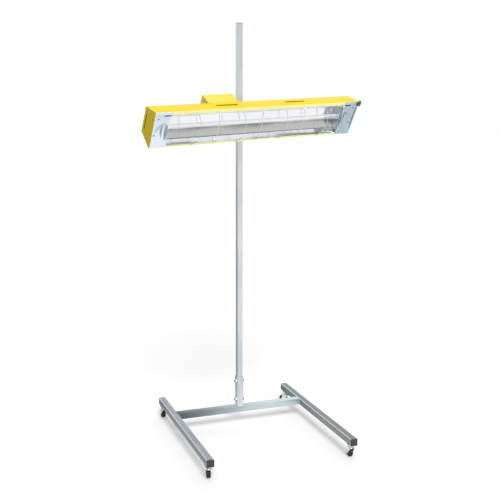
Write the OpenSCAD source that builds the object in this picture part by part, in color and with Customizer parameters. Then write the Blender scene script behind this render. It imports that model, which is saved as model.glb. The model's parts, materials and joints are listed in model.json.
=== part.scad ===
// Infrared curing lamp: a long lamp head on a square mast, with an H base on four castors.
// Millimetres. The floor is Z = 0, the mast's axis is X = Y = 0, and the lamp shines towards -Y.

/* [Base] */
// Width over the two legs
base_width = 645; // [560:5:720]
// Side of the square tube of the legs and the cross tube
base_tube = 30; // [30:1:40]
// Reach of the legs in front of the mast
leg_front = 545; // [450:5:600]
// Reach of the legs behind the mast
leg_rear = 215; // [180:5:300]
// Distance of a castor's stem from the end of its leg
castor_inset = 30; // [25:1:60]
// Height of a castor, from the floor to the leg
castor_height = 59; // [59:1:70]
// Diameter of a castor wheel
wheel_d = 40; // [32:1:40]

/* [Mast] */
// Side of the square mast tube
mast_side = 25; // [24:1:30]
// Wall of the mast tube
mast_wall = 2; // [1.5:0.5:3]
// Top of the mast above the floor
mast_top = 1780; // [1600:10:2000]
// Height of the socket that holds the mast
socket_height = 137; // [110:1:180]

/* [Head mount] */
// Height of the head's pivots above the floor
mount_height = 1424; // [700:1:1700]
// Distance from the mast's axis to the swivel bolt
pin_reach = 58; // [58:1:80]
// Distance from the swivel bolt to the tilt bolt
tilt_reach = 26; // [26:1:40]
// Distance from the tilt bolt to the head's rear wall
head_reach = 34; // [34:1:50]
// Level of the head, with its right end raised
level_angle = 3; // [-15:1:15]
// Swivel of the head, with its right end turned back
swivel_angle = 10.5; // [-30:0.5:30]
// Tilt of the head, with its open face turned down
tilt_angle = 33.3; // [0:0.1:65]

/* [Head] */
// Length of the lamp head
head_length = 970; // [700:10:1200]
// Height of the head at its open face
opening_height = 165; // [155:1:190]
// Height of the head's rear wall
rear_height = 115; // [105:1:130]
// Depth of the head
head_depth = 85; // [85:1:100]
// Width of the lips that frame the open face
lip_width = 8; // [7:1:10]
// Number of guard wires in front of the lamp
guard_pairs = 4; // [2:1:5]
// How far the guard wires bow out of the open face
guard_bow = 40; // [25:1:55]
// Length of the polished cover at each end of the open face
end_cover = 73; // [60:1:90]

/* [Hidden] */
$fn = 48;

yellow = [0.98, 0.84, 0.05];
zinc = [0.62, 0.66, 0.69];
steel = [0.72, 0.74, 0.76];
polished = [0.80, 0.86, 0.92];
dark_plastic = [0.16, 0.17, 0.19];
black = [0.05, 0.05, 0.05];
ceramic = [0.88, 0.82, 0.72];

// Base and mast
tube_wall = 1.5;
tube_corner = 3;
cap_flange = 3;
cap_plug = 12;
plug_gap = 0.2;
base_top = castor_height + base_tube;
leg_x = (base_width - base_tube) / 2;
socket_side = mast_side + 5;
socket_bore = mast_side + 1;
socket_top = base_top + socket_height;
socket_bolt_z = [base_top + 28, socket_top - 23];
mast_cap_flange = 2;

// Metric fasteners: radius of the shank, hole, hexagon across flats and head height
m6 = [3, 3.2, 10, 4];
m8 = [4, 4.1, 13, 5.3];
m10 = [5, 5.1, 17, 6.4];
m8_nut = 6.5;
m8_lock_nut = 8;
m10_lock_nut = 10;
washer = 1.6;
face_gap = 0.1;

// Castors: name, side, end and the direction in which the wheel trails
castor_trail = 12;
castors = [
    ["front_left", -1, -1, 160],
    ["front_right", 1, -1, 172],
    ["rear_left", -1, 1, -178],
    ["rear_right", 1, 1, -140]
];
fork_top = castor_height - 11;
fork_sheet = 2;
dome_r = 17.5;
race_gap = 0.3;
axle_r = 3;
axle_gap = 0.06;
wheel_half = 8.5;
cheek_in = wheel_half + 1;
cheek_out = cheek_in + fork_sheet;

// Carriage on the mast
sleeve_gap = 0.5;
sleeve_wall = 3;
sleeve_side = mast_side + 2 * (sleeve_gap + sleeve_wall);
sleeve_front = -sleeve_side / 2;
sleeve_up = 22;
sleeve_down = 104;
plate_size = [50, 4, 52];
plate_face = sleeve_front - plate_size.y;
clamp_z = mount_height - 79;
boss_length = 10;
screw_tip_gap = 0.4;

// Yoke, seen from the swivel bolt
yoke_sheet = 4;
yoke_half = 17;
arm_half_width = 12;
arm_gap = 13;
disc_thickness = 1.4;
yoke_back = pin_reach + plate_face - disc_thickness - face_gap;
block_half = [10, 10, 12];

// Head
sheet = 1.5;
end_sheet = 2;
end_frame = 1.5;
slot_low = [64, -43];
slot_size = [7, 74];
bracket_sheet = 4;
ear_in = 11;
casing_length = head_length - 2 * end_sheet;
half_open = opening_height / 2;
half_rear = rear_height / 2;
slope = (half_open - half_rear) / head_depth;
slope_angle = atan(slope);
wall_drop = sheet / cos(slope_angle);
bracket_hole_x = 34;
bracket_hole_z = 8;

// Polished trough behind the lamp, from lip to lip
trough_top = half_open - lip_width + 1;
trough_depth = 60;
trough_back = 29;
trough_knee = [28, 62.5];
trough_sheet = 1;
trough_half = head_length / 2 - 49;
trough = [
    [sheet + 0.1, trough_top], trough_knee, [trough_depth, trough_back],
    [trough_depth, -trough_back], [trough_knee.x, -trough_knee.y], [sheet + 0.1, -trough_top]
];

// Lamp
lamp_y = 28;
quartz_r = 5.3;
quartz_wall = 1;
quartz_half = head_length / 2 - 64;
lamp_cap_r = 8;
lamp_cap_length = 41;
lamp_cap_pocket = 10;

// Guard wires
wire_r = 1.25;
wire_tail = 3.3;
wire_z = half_open - lip_width / 2;
wire_radius = (wire_z * wire_z + guard_bow * guard_bow) / (2 * guard_bow);
wire_half_angle = asin(wire_z / wire_radius);
wire_lean = 17;
wire_spread = 49;
wire_first = -253;
wire_pitch = 202;

// Terminal box behind the head
box_x = [-212, -73];
box_y = head_depth + 61;
box_z = [-34, half_rear - 0.5];
box_flange = 10;
lead_r = 1.6;
lead_sides = 8;
lead_y = 72;
lead_z = 32;
lead_hole = [-142, 10];
gland_x = -108;
gland_y = head_depth + 26;
gland_bore = 4;
switch_x = -160;
switch_z = 14;
rocker_angle = 9;

// Sheet-metal screws: radius, head radius and head height
screw = [2, 3.6, 2];
end_screws = [[72, 44], [40, 57], [12, 46], [12, -46], [40, -57], [72, -44]];
cover_screws = [[22, 50], [15, -26]];

// Shapes used by several pieces

module along_x(from, length) {
    translate([from, 0, 0]) rotate([90, 0, 90]) linear_extrude(height = length) children();
}

module along_y(from, length) {
    translate([0, from, 0]) rotate([-90, 0, 0]) linear_extrude(height = length) children();
}

module rounded_square(side, corner) {
    half = side / 2 - corner;
    square([side, 2 * half], center = true);
    square([2 * half, side], center = true);
    for (x = [-half, half], y = [-half, half]) {
        translate([x, y]) circle(r = corner);
    }
}

module tube_section(side, wall, corner = tube_corner) {
    difference() {
        rounded_square(side, corner);
        rounded_square(side - 2 * wall, max(corner - wall, 0.5));
    }
}

module hexagon(flats, height) {
    cylinder(d = flats / cos(30), h = height, $fn = 6);
}

module hex_bolt(size, length) {
    cylinder(r = size[0], h = length);
    translate([0, 0, -size[3]]) hexagon(size[2], size[3]);
}

module hex_nut(size, height) {
    difference() {
        hexagon(size[2], height);
        translate([0, 0, -1]) cylinder(r = size[0] + 0.05, h = height + 2);
    }
}

module ring(outer, inner, height) {
    difference() {
        cylinder(r = outer, h = height);
        translate([0, 0, -1]) cylinder(r = inner, h = height + 2);
    }
}

module star_knob(radius, height, bore, depth) {
    lobes = 6;
    difference() {
        union() {
            cylinder(r = radius * 0.82, h = height);
            for (i = [0:lobes - 1]) {
                rotate([0, 0, i * 360 / lobes]) translate([radius * 0.72, 0, 0]) {
                    cylinder(r = radius * 0.28, h = height);
                }
            }
            translate([0, 0, -4]) cylinder(r = radius * 0.5, h = 5);
        }
        translate([0, 0, -5]) cylinder(r = bore, h = depth + 5);
    }
}

// Unit normal on the left of the step from a to b
function left_of(a, b) = [a.y - b.y, b.x - a.x] / norm(b - a);

// Corner i of a path, moved sideways by t with the same sheet thickness on both sides of the bend
function moved(path, i, t) =
    let (last = len(path) - 1,
         before = left_of(path[max(i - 1, 0)], path[max(i, 1)]),
         after = left_of(path[min(i, last - 1)], path[min(i + 1, last)]),
         middle = (before + after) / norm(before + after))
    path[i] + middle * t / (middle * before);

module bent_sheet(path, t) {
    polygon(concat(path, [for (i = [len(path) - 1:-1:0]) moved(path, i, t)]));
}

// Places on the mount and the head

module at_yoke() {
    translate([0, -pin_reach, mount_height]) rotate([0, -level_angle, 0]) children();
}

module at_swivel() {
    at_yoke() rotate([0, 0, swivel_angle]) children();
}

module at_tilt() {
    at_swivel() translate([0, -tilt_reach, 0]) rotate([tilt_angle, 0, 0]) children();
}

module at_head() {
    at_tilt() translate([0, -head_depth - head_reach, 0]) children();
}

// Base

function castor_place(c) = [c[1] * leg_x, c[2] < 0 ? -leg_front + castor_inset : leg_rear - castor_inset, 0];

module leg(side) {
    tube_length = leg_front + leg_rear - 2 * cap_flange;
    color(zinc) difference() {
        union() {
            translate([side * leg_x, 0, base_top - base_tube / 2]) {
                along_y(-leg_front + cap_flange, tube_length) tube_section(base_tube, tube_wall);
            }
            for (c = castors) {
                if (c[1] == side) translate(castor_place(c) + [0, 0, castor_height + tube_wall / 2]) {
                    cylinder(r = 8, h = 7);
                }
            }
        }
        for (c = castors) {
            if (c[1] == side) translate(castor_place(c) + [0, 0, castor_height - 1]) {
                cylinder(r = m8[1], h = 12);
            }
        }
    }
}

module left_leg() {
    leg(-1);
}

module right_leg() {
    leg(1);
}

module cross_tube() {
    inside = base_width / 2 - base_tube;
    color(zinc) translate([0, 0, base_top - base_tube / 2]) {
        along_x(-inside, 2 * inside) tube_section(base_tube, tube_wall);
    }
}

module leg_caps() {
    plug = base_tube - 2 * tube_wall - 2 * plug_gap;
    color(dark_plastic) for (side = [-1, 1], end = [0, 1]) {
        translate([side * leg_x, end ? leg_rear : -leg_front, base_top - base_tube / 2]) mirror([0, end, 0]) {
            along_y(0, cap_flange) rounded_square(base_tube, tube_corner);
            along_y(cap_flange - 0.5, cap_plug) rounded_square(plug, 1.3);
        }
    }
}

module mast_socket() {
    color(zinc) difference() {
        translate([0, 0, base_top]) linear_extrude(height = socket_height) {
            difference() {
                rounded_square(socket_side, 2.5);
                rounded_square(socket_bore, 1);
            }
        }
        bolt_holes();
    }
}

module bolt_holes() {
    for (z = socket_bolt_z) {
        translate([-socket_side, 0, z]) rotate([0, 90, 0]) cylinder(r = m8[1], h = 2 * socket_side);
    }
}

module socket_bolts() {
    color(dark_plastic) for (z = socket_bolt_z) {
        translate([socket_side / 2, 0, z]) rotate([0, -90, 0]) hex_bolt(m8, socket_side + m8_nut + 2);
    }
}

module socket_nuts() {
    color(steel) for (z = socket_bolt_z) {
        translate([-socket_side / 2, 0, z]) rotate([0, -90, 0]) hex_nut(m8, m8_nut);
    }
}

module mast() {
    color(zinc) difference() {
        translate([0, 0, base_top]) linear_extrude(height = mast_top - mast_cap_flange - base_top) {
            tube_section(mast_side, mast_wall, 2);
        }
        bolt_holes();
    }
}

module mast_cap() {
    plug = mast_side - 2 * mast_wall - 2 * plug_gap;
    color(dark_plastic) {
        translate([0, 0, mast_top - mast_cap_flange]) linear_extrude(height = mast_cap_flange) {
            rounded_square(mast_side, 2);
        }
        translate([0, 0, mast_top - mast_cap_flange - cap_plug]) linear_extrude(height = cap_plug + 0.5) {
            rounded_square(plug, 0.6);
        }
    }
}

// Castors

module castor_stems() {
    color(steel) for (c = castors) {
        translate(castor_place(c)) {
            translate([0, 0, castor_height - 3]) cylinder(r = dome_r - 0.5, h = 3);
            translate([0, 0, fork_top + race_gap]) {
                cylinder(r = 13, h = castor_height - 2 - fork_top - race_gap);
            }
            translate([0, 0, fork_top - 4]) cylinder(r = m8[0], h = castor_height + 9 - fork_top + 4);
            translate([0, 0, fork_top - fork_sheet - race_gap - 2]) cylinder(r = 7, h = 2);
        }
    }
}

function arc(centre, radius, from, to, steps) = [
    for (i = [0:steps]) let (a = from + (to - from) * i / steps) centre + radius * [cos(a), sin(a)]
];

module fork(c) {
    bend = 7.5;
    skirt = fork_top - 12;
    hub = [-castor_trail, wheel_d / 2];
    outside = arc([dome_r - bend, fork_top - bend], bend, 90, 0, 6);
    inside = arc([dome_r - bend, fork_top - bend], bend - fork_sheet, 0, 90, 6);
    color(steel) translate(castor_place(c)) rotate([0, 0, c[3]]) difference() {
        union() {
            difference() {
                rotate_extrude() polygon(concat(
                    [[m8[0] + 0.08, fork_top - fork_sheet], [m8[0] + 0.08, fork_top]],
                    outside, [[dome_r, skirt], [dome_r - fork_sheet, skirt]], inside
                ));
                translate([-cheek_in, -40, 0]) cube([2 * cheek_in, 80, fork_top - 6]);
            }
            for (x = [-cheek_out, cheek_in]) {
                along_x(x, fork_sheet) {
                    polygon([[-13, fork_top - 4], [12, fork_top - 4], [12, skirt], hub + [6.6, -3],
                             hub + [-6.8, 2], [-15, skirt]]);
                    translate(hub) circle(r = 7);
                }
            }
        }
        translate([-20, hub.x, hub.y]) rotate([0, 90, 0]) cylinder(r = axle_r + axle_gap, h = 40);
    }
}

module axle(c) {
    color(steel) translate(castor_place(c)) rotate([0, 0, c[3]]) {
        translate([0, -castor_trail, wheel_d / 2]) rotate([0, 90, 0]) {
            translate([0, 0, -cheek_out]) cylinder(r = axle_r, h = 2 * cheek_out);
            translate([0, 0, -cheek_out - 1.5]) cylinder(r = 5, h = 1.5);
            translate([0, 0, cheek_out]) cylinder(r = 5, h = 1.5);
        }
    }
}

module wheel(c) {
    r = wheel_d / 2;
    tread = 3;
    half = [
        [axle_r + axle_gap, -8.3], [7, -8.3], [8, -6],
        [r - 6, -6], [r - 5, -wheel_half], [r - tread, -wheel_half]
    ];
    lower = arc([r - tread, -wheel_half + tread], tread, -90, 0, 5);
    profile = concat(half, lower);
    color(black) translate(castor_place(c)) rotate([0, 0, c[3]]) {
        translate([0, -castor_trail, r]) rotate([0, 90, 0]) rotate_extrude($fn = 64) {
            polygon(concat(profile, [for (i = [len(profile) - 1:-1:0]) [profile[i].x, -profile[i].y]]));
        }
    }
}

module front_left_fork() { fork(castors[0]); }
module front_right_fork() { fork(castors[1]); }
module rear_left_fork() { fork(castors[2]); }
module rear_right_fork() { fork(castors[3]); }
module front_left_axle() { axle(castors[0]); }
module front_right_axle() { axle(castors[1]); }
module rear_left_axle() { axle(castors[2]); }
module rear_right_axle() { axle(castors[3]); }
module front_left_wheel() { wheel(castors[0]); }
module front_right_wheel() { wheel(castors[1]); }
module rear_left_wheel() { wheel(castors[2]); }
module rear_right_wheel() { wheel(castors[3]); }

// Carriage that slides on the mast

module carriage_sleeve() {
    color(zinc) difference() {
        translate([0, 0, mount_height - sleeve_down]) linear_extrude(height = sleeve_up + sleeve_down) {
            tube_section(sleeve_side, sleeve_wall);
        }
        translate([0, 0, clamp_z]) rotate([-90, 0, 0]) cylinder(r = m8[1], h = sleeve_side);
    }
}

module carriage_plate() {
    color(zinc) difference() {
        translate([-plate_size.x / 2, plate_face, mount_height - plate_size.z / 2]) cube(plate_size);
        translate([0, plate_face - 1, mount_height]) rotate([-90, 0, 0]) {
            cylinder(r = m10[0] + 0.05, h = plate_size.y + 2);
        }
    }
}

module level_stud() {
    color(steel) translate([0, sleeve_front, mount_height]) rotate([90, 0, 0]) {
        cylinder(r = m10[0], h = plate_size.y + disc_thickness + yoke_sheet + washer + m10_lock_nut + 2);
    }
}

module level_washers() {
    color(dark_plastic) translate([0, plate_face, mount_height]) rotate([90, 0, 0]) {
        ring(14, m10[0] + 0.2, disc_thickness);
        translate([0, 0, disc_thickness + yoke_sheet + 2 * face_gap]) ring(10, m10[0] + 0.2, washer);
    }
}

module level_nut() {
    lift = disc_thickness + yoke_sheet + 2 * face_gap + washer;
    color(steel) translate([0, plate_face - lift, mount_height]) rotate([90, 0, 0]) {
        hex_nut(m10, m10_lock_nut);
    }
}

module clamp_boss() {
    color(zinc) translate([0, sleeve_side / 2, clamp_z]) rotate([-90, 0, 0]) {
        ring(9, m8[0] + 0.06, boss_length);
    }
}

module clamp_screw() {
    tip = mast_side / 2 + screw_tip_gap;
    color(steel) translate([0, tip, clamp_z]) rotate([-90, 0, 0]) {
        cylinder(r = m8[0], h = sleeve_side / 2 + boss_length + 20 - tip);
    }
}

module clamp_knob() {
    color(black) translate([0, sleeve_side / 2 + boss_length + 6, clamp_z]) rotate([-90, 0, 0]) {
        star_knob(22, 22, m8[0], 14);
    }
}

// Yoke and swivel block

module yoke() {
    height = 2 * yoke_half;
    color(steel) at_yoke() difference() {
        union() {
            translate([-yoke_half, yoke_back - yoke_sheet, -yoke_half]) cube([height, yoke_sheet, height]);
            for (z = [arm_gap, -yoke_half]) {
                translate([0, 0, z]) linear_extrude(height = yoke_sheet) {
                    circle(r = arm_half_width);
                    translate([-arm_half_width, 0]) square([2 * arm_half_width, yoke_back - 1]);
                }
            }
        }
        translate([0, 0, -30]) cylinder(r = m8[1], h = 60);
        translate([0, yoke_back - 10, 0]) rotate([-90, 0, 0]) cylinder(r = m10[1], h = 20);
    }
}

module swivel_bolt() {
    color(steel) at_yoke() translate([0, 0, yoke_half]) rotate([180, 0, 0]) {
        hex_bolt(m8, 2 * yoke_half + m8_lock_nut + 2);
    }
}

module swivel_nut() {
    color(steel) at_yoke() translate([0, 0, -yoke_half - m8_lock_nut]) hex_nut(m8, m8_lock_nut);
}

module swivel_washers() {
    thickness = arm_gap - block_half.z - face_gap;
    color(ceramic) at_yoke() for (z = [block_half.z + face_gap, -arm_gap]) {
        translate([0, 0, z]) ring(10, m8[0] + 0.2, thickness);
    }
}

module swivel_block() {
    color(steel) at_swivel() difference() {
        along_x(-block_half.x, 2 * block_half.x) {
            translate([-tilt_reach, -block_half.z]) square([tilt_reach + block_half.y, 2 * block_half.z]);
            translate([-tilt_reach, 0]) circle(r = block_half.z);
        }
        translate([0, 0, -20]) cylinder(r = m8[0] + 0.08, h = 40);
        translate([-20, -tilt_reach, 0]) rotate([0, 90, 0]) cylinder(r = m8[0] + 0.08, h = 40);
    }
}

// Bracket on the head and its tilt bolt

module head_bracket() {
    color(steel) at_tilt() difference() {
        union() {
            translate([-45, -head_reach, -15]) cube([90, bracket_sheet, 30]);
            for (x = [ear_in, -ear_in - bracket_sheet]) {
                along_x(x, bracket_sheet) {
                    circle(r = 12);
                    translate([-head_reach + 1, -12]) square([head_reach - 1, 24]);
                }
            }
        }
        translate([-30, 0, 0]) rotate([0, 90, 0]) cylinder(r = m8[1], h = 60);
        bracket_holes(-head_reach - 1);
    }
}

module at_bracket_bolts() {
    for (x = [-bracket_hole_x, bracket_hole_x], z = [-bracket_hole_z, bracket_hole_z]) {
        translate([x, 0, z]) children();
    }
}

module bracket_holes(from) {
    at_bracket_bolts() translate([0, from, 0]) rotate([-90, 0, 0]) cylinder(r = m6[1], h = 8);
}

module bracket_bolts() {
    grip = bracket_sheet + sheet;
    color(steel) at_tilt() at_bracket_bolts() {
        translate([0, bracket_sheet - head_reach, 0]) rotate([90, 0, 0]) {
            hex_bolt(m6, grip + 7);
            translate([0, 0, grip]) hex_nut(m6, 5);
        }
    }
}

module tilt_bolt() {
    color(steel) at_tilt() translate([-ear_in - bracket_sheet, 0, 0]) rotate([0, 90, 0]) {
        hex_bolt(m8, 2 * (ear_in + bracket_sheet) + 16);
    }
}

module tilt_washers() {
    thickness = ear_in - block_half.x - face_gap;
    color(ceramic) at_tilt() {
        translate([block_half.x + face_gap, 0, 0]) rotate([0, 90, 0]) ring(10, m8[0] + 0.2, thickness);
        translate([-ear_in, 0, 0]) rotate([0, 90, 0]) ring(10, m8[0] + 0.2, thickness);
        translate([ear_in + bracket_sheet, 0, 0]) rotate([0, 90, 0]) ring(8.5, m8[0] + 0.2, washer);
    }
}

module tilt_knob() {
    start = ear_in + bracket_sheet + washer + face_gap;
    color(black) at_tilt() translate([start + 4, 0, 0]) rotate([0, 90, 0]) {
        star_knob(17, 17, m8[0] + 0.06, 13);
    }
}

// Casing of the head

// Height of the casing's top face above the head's middle, at a distance behind the open face
function roof(y) = half_open - slope * y;

module casing_section() {
    inner = [for (y = [sheet, head_depth - sheet]) [y, roof(y) - wall_drop]];
    half = [[0, half_open - lip_width], [0, half_open], [head_depth, half_rear]];
    back = [[inner[1].x, inner[1].y], [inner[0].x, inner[0].y], [sheet, half_open - lip_width]];
    outer = concat(half, [for (i = [2:-1:0]) [half[i].x, -half[i].y]]);
    inward = concat([for (i = [2:-1:0]) [back[i].x, -back[i].y]], back);
    polygon(concat(outer, inward));
}

module end_frame_section() {
    rim = 20;
    difference() {
        polygon([[0, half_open], [head_depth, half_rear], [head_depth, -half_rear], [0, -half_open]]);
        polygon([[rim, roof(rim) - rim], [head_depth - rim, roof(head_depth - rim) - rim],
                 [head_depth - rim, rim - roof(head_depth - rim)], [rim, rim - roof(rim)]]);
        translate(slot_low + [-1.5, 4]) square(slot_size + [3, -3]);
    }
}

louvre_x = [-151, 176];
louvre_length = 100;
louvre_y = 44;
louvre_rise = 4;
louvre_run = 10;

module at_louvre(x) {
    translate([x - louvre_length / 2, louvre_y, roof(louvre_y)]) rotate([-slope_angle, 0, 0]) children();
}

module louvre(x) {
    at_louvre(x) {
        along_x(0, louvre_length) {
            polygon([[0, louvre_rise], [0, louvre_rise - 1.2], [louvre_run - 3, -0.5], [louvre_run, -0.5],
                     [louvre_run, 0]]);
        }
        for (end = [0, louvre_length - 1.2]) {
            along_x(end, 1.2) polygon([[0, louvre_rise], [0, -0.5], [louvre_run, -0.5], [louvre_run, 0]]);
        }
    }
}

module casing() {
    half = casing_length / 2;
    color(yellow) at_head() difference() {
        union() {
            difference() {
                along_x(-half, casing_length) casing_section();
                for (x = louvre_x) {
                    at_louvre(x) translate([1.2, 0, -4]) cube([louvre_length - 2.4, 6, 8]);
                }
            }
            for (x = louvre_x) {
                louvre(x);
            }
            for (x = [-half, half - end_frame]) {
                along_x(x, end_frame) end_frame_section();
            }
            for (side = [0, 1], p = cover_screws) {
                mirror([side, 0, 0]) cover_tab(p);
            }
        }
        for (side = [-1, 1], p = end_screws) {
            translate([side * (half - 2), p.x, p.y]) rotate([0, side * 90, 0]) {
                cylinder(r = screw[0] + 0.1, h = 6);
            }
        }
        for (x = wire_places(), z = [-wire_z, wire_z]) {
            translate([x, -1, z]) rotate([-90, 0, 0]) cylinder(r = wire_r + 0.6, h = 4);
        }
        translate([0, head_depth + head_reach, 0]) bracket_holes(-head_reach - 3);
        translate([lead_hole.x, head_depth - 3, lead_hole.y]) rotate([-90, 0, 0]) cylinder(r = 9, h = 6);
        for (p = box_screws()) {
            translate(p - [0, 4, 0]) rotate([-90, 0, 0]) cylinder(r = screw[0] + 0.1, h = 6);
        }
    }
}

module end_plate(side) {
    color(yellow) at_head() difference() {
        along_x(side > 0 ? casing_length / 2 : -head_length / 2, end_sheet) {
            difference() {
                polygon([[0, half_open], [head_depth, half_rear], [head_depth, -half_rear], [0, -half_open]]);
                translate(slot_low) square(slot_size);
            }
        }
        for (p = end_screws) {
            translate([side * (head_length / 2 - 4), p.x, p.y]) rotate([0, side * 90, 0]) {
                cylinder(r = screw[0] + 0.1, h = 6);
            }
        }
    }
}

module end_plate_left() {
    end_plate(-1);
}

module end_plate_right() {
    end_plate(1);
}

module pan_screw(length) {
    cylinder(r = screw[1], h = screw[2]);
    translate([0, 0, -length]) cylinder(r = screw[0], h = length + 1);
}

function box_screws() = [
    for (x = [box_x[0] - box_flange / 2, box_x[1] + box_flange / 2], z = [-22, 30]) [x, head_depth, z]
];

module sheet_screws() {
    color(steel) at_head() {
        for (side = [-1, 1], p = end_screws) {
            translate([side * head_length / 2, p.x, p.y]) rotate([0, side * 90, 0]) pan_screw(8);
        }
        for (p = box_screws()) {
            translate(p + [0, sheet, 0]) rotate([-90, 0, 0]) pan_screw(8);
        }
        for (side = [0, 1], p = cover_screws) {
            mirror([side, 0, 0]) at_cover_screw(p) translate([0, 0, face_gap]) pan_screw(5);
        }
    }
}

module corner_buffer() {
    outside = 9;
    color(dark_plastic) at_head() difference() {
        translate([head_length / 2 - 10, -4.5, half_open - 22]) cube([10 + outside, 10.5, 23]);
        translate([0, -2.2, 0]) cube([head_length / 2 + 0.1, 100, 200]);
    }
}

// Polished reflectors

module reflector() {
    color(polished) at_head() along_x(-trough_half, 2 * trough_half) bent_sheet(trough, trough_sheet);
}

cover_sheet = 1;
cover_sag = 6;
cover_half = half_open - lip_width - 0.5;
cover_radius = (cover_half * cover_half + cover_sag * cover_sag) / (2 * cover_sag);

// Front face of the polished end cover at a height above the head's middle
function cover_face(z) = -cover_sheet - face_gap + cover_sag - cover_radius
    + sqrt(cover_radius * cover_radius - z * z);

cover_path = concat(
    [[-cover_sheet - face_gap, half_open - 1]],
    [for (i = [6:-1:-6]) let (z = cover_half * i / 6) [cover_face(z), z]],
    [[-cover_sheet - face_gap, 1 - half_open]]
);

// Place of a screw on the right cover, with Z square to the sheet and out of it
module at_cover_screw(p) {
    translate([head_length / 2 - p.x, cover_face(p.y), p.y]) rotate([90 + asin(p.y / cover_radius), 0, 0]) {
        children();
    }
}

// Tab of the casing's end frame that holds a screw of the cover
module cover_tab(p) {
    inward = 7;
    at_cover_screw(p) difference() {
        translate([-inward, -inward, -cover_sheet - face_gap - sheet]) {
            cube([inward + p.x - end_sheet - end_frame + 0.5, 2 * inward, sheet]);
        }
        translate([0, 0, -8]) cylinder(r = screw[0] + 0.1, h = 9);
    }
}

module end_reflector(side) {
    outer = casing_length / 2 - end_frame - face_gap;
    inner = casing_length / 2 - end_cover;
    return_depth = 9;
    return_taper = 0.96;
    color(polished) at_head() mirror([side < 0 ? 1 : 0, 0, 0]) difference() {
        union() {
            along_x(inner, outer - inner) bent_sheet(cover_path, cover_sheet);
            along_x(inner, cover_sheet) {
                polygon(concat(
                    [for (i = [1:len(cover_path) - 2]) cover_path[i]],
                    [for (i = [len(cover_path) - 2:-1:1]) [return_depth, cover_path[i].y * return_taper]]
                ));
            }
        }
        for (p = cover_screws) {
            at_cover_screw(p) translate([0, 0, -8]) cylinder(r = screw[0] + 0.1, h = 10);
        }
    }
}

module end_reflector_left() {
    end_reflector(-1);
}

module end_reflector_right() {
    end_reflector(1);
}

// Guard wires in front of the lamp

function wire_places() = [
    for (i = [0:guard_pairs - 1], s = [-1, 1]) wire_first + i * wire_pitch + s * wire_spread - 2
];

module guard_wires() {
    color(steel) at_head() for (i = [0:2 * guard_pairs - 1]) {
        translate([wire_places()[i], 0, 0]) {
            rotate([0, 0, i % 2 ? -wire_lean : wire_lean]) {
                translate([0, wire_radius - guard_bow, 0]) rotate([90, 0, -90]) {
                    rotate([0, 0, -wire_half_angle]) rotate_extrude(angle = 2 * wire_half_angle, $fn = 96) {
                        translate([wire_radius, 0]) circle(r = wire_r, $fn = 16);
                    }
                }
            }
            for (z = [-wire_z, wire_z]) {
                translate([0, 0, z]) {
                    sphere(r = wire_r, $fn = 24);
                    rotate([-90, 0, 0]) cylinder(r = wire_r, h = wire_tail);
                }
            }
        }
    }
}

// Lamp, its holders and its leads

module lamp_tube() {
    color(polished) at_head() translate([-quartz_half, lamp_y, 0]) rotate([0, 90, 0]) {
        ring(quartz_r, quartz_r - quartz_wall, 2 * quartz_half);
    }
}

module lamp_filament() {
    half = quartz_half - 12;
    pitch = 2 * half / 20;
    color(steel) at_head() translate([-half, lamp_y, 0]) rotate([0, 90, 0]) {
        cylinder(r = 1.2, h = 2 * half);
        for (i = [0:20]) {
            translate([0, 0, i * pitch - 0.3]) cylinder(r = quartz_r - quartz_wall - 0.1, h = 0.6);
        }
    }
}

module lamp_caps() {
    color(ceramic) at_head() for (side = [-1, 1]) {
        translate([side * (quartz_half - lamp_cap_pocket), lamp_y, 0]) rotate([0, side * 90, 0]) {
            difference() {
                cylinder(r = lamp_cap_r, h = lamp_cap_length);
                translate([0, 0, -1]) cylinder(r = quartz_r + 0.1, h = lamp_cap_pocket + 1.1);
            }
        }
    }
}

module lamp_brackets() {
    wall = 1.5;
    foot = 12;
    front = cover_sag + sheet;
    rise = (trough_top - trough_knee.y) / (trough_knee.x - trough[0].x);
    edge = trough_knee.y + rise * (trough_knee.x - front);
    color(polished) at_head() for (side = [0, 1]) mirror([side, 0, 0]) {
        translate([trough_half + 0.5, 0, 0]) difference() {
            union() {
                along_x(0, wall) {
                    polygon([[front, edge], trough_knee, [trough_depth, trough_back],
                             [trough_depth, -trough_back], [trough_knee.x, -trough_knee.y], [front, -edge]]);
                    translate([trough_depth - 1, -18]) square([head_depth - sheet - trough_depth + 1, 36]);
                }
                translate([0, head_depth - sheet - wall, -18]) cube([foot, wall, 36]);
            }
            translate([-1, lamp_y, 0]) rotate([0, 90, 0]) cylinder(r = lamp_cap_r + 0.1, h = wall + 2);
        }
    }
}

// Direction of a route at one of its points
function heading(route, i) =
    let (step = route[min(i + 1, len(route) - 1)] - route[max(i - 1, 0)]) step / norm(step);

// Part of a vector that is square to a direction, with length 1
function square_to(v, direction) =
    let (rest = v - direction * (v * direction)) rest / norm(rest);

// Tube along a route, with lead_sides sides
module lead(route) {
    last = len(route) - 1;
    sides = [
        for (i = 0, s = square_to([0, 0.1, 1], heading(route, 0)); i <= last;
             i = i + 1, s = square_to(s, heading(route, min(i, last)))) s
    ];
    points = [
        for (i = [0:last], k = [0:lead_sides - 1])
            let (a = k * 360 / lead_sides, up = cross(heading(route, i), sides[i]))
            route[i] + lead_r * (cos(a) * sides[i] + sin(a) * up)
    ];
    walls = [
        for (i = [0:last - 1], k = [0:lead_sides - 1])
            let (n = (k + 1) % lead_sides, low = i * lead_sides, high = low + lead_sides)
            [low + k, high + k, high + n, low + n]
    ];
    start = [for (k = [0:lead_sides - 1]) k];
    end = [for (k = [lead_sides - 1:-1:0]) last * lead_sides + k];
    polyhedron(points, concat([start], walls, [end]));
}

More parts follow.
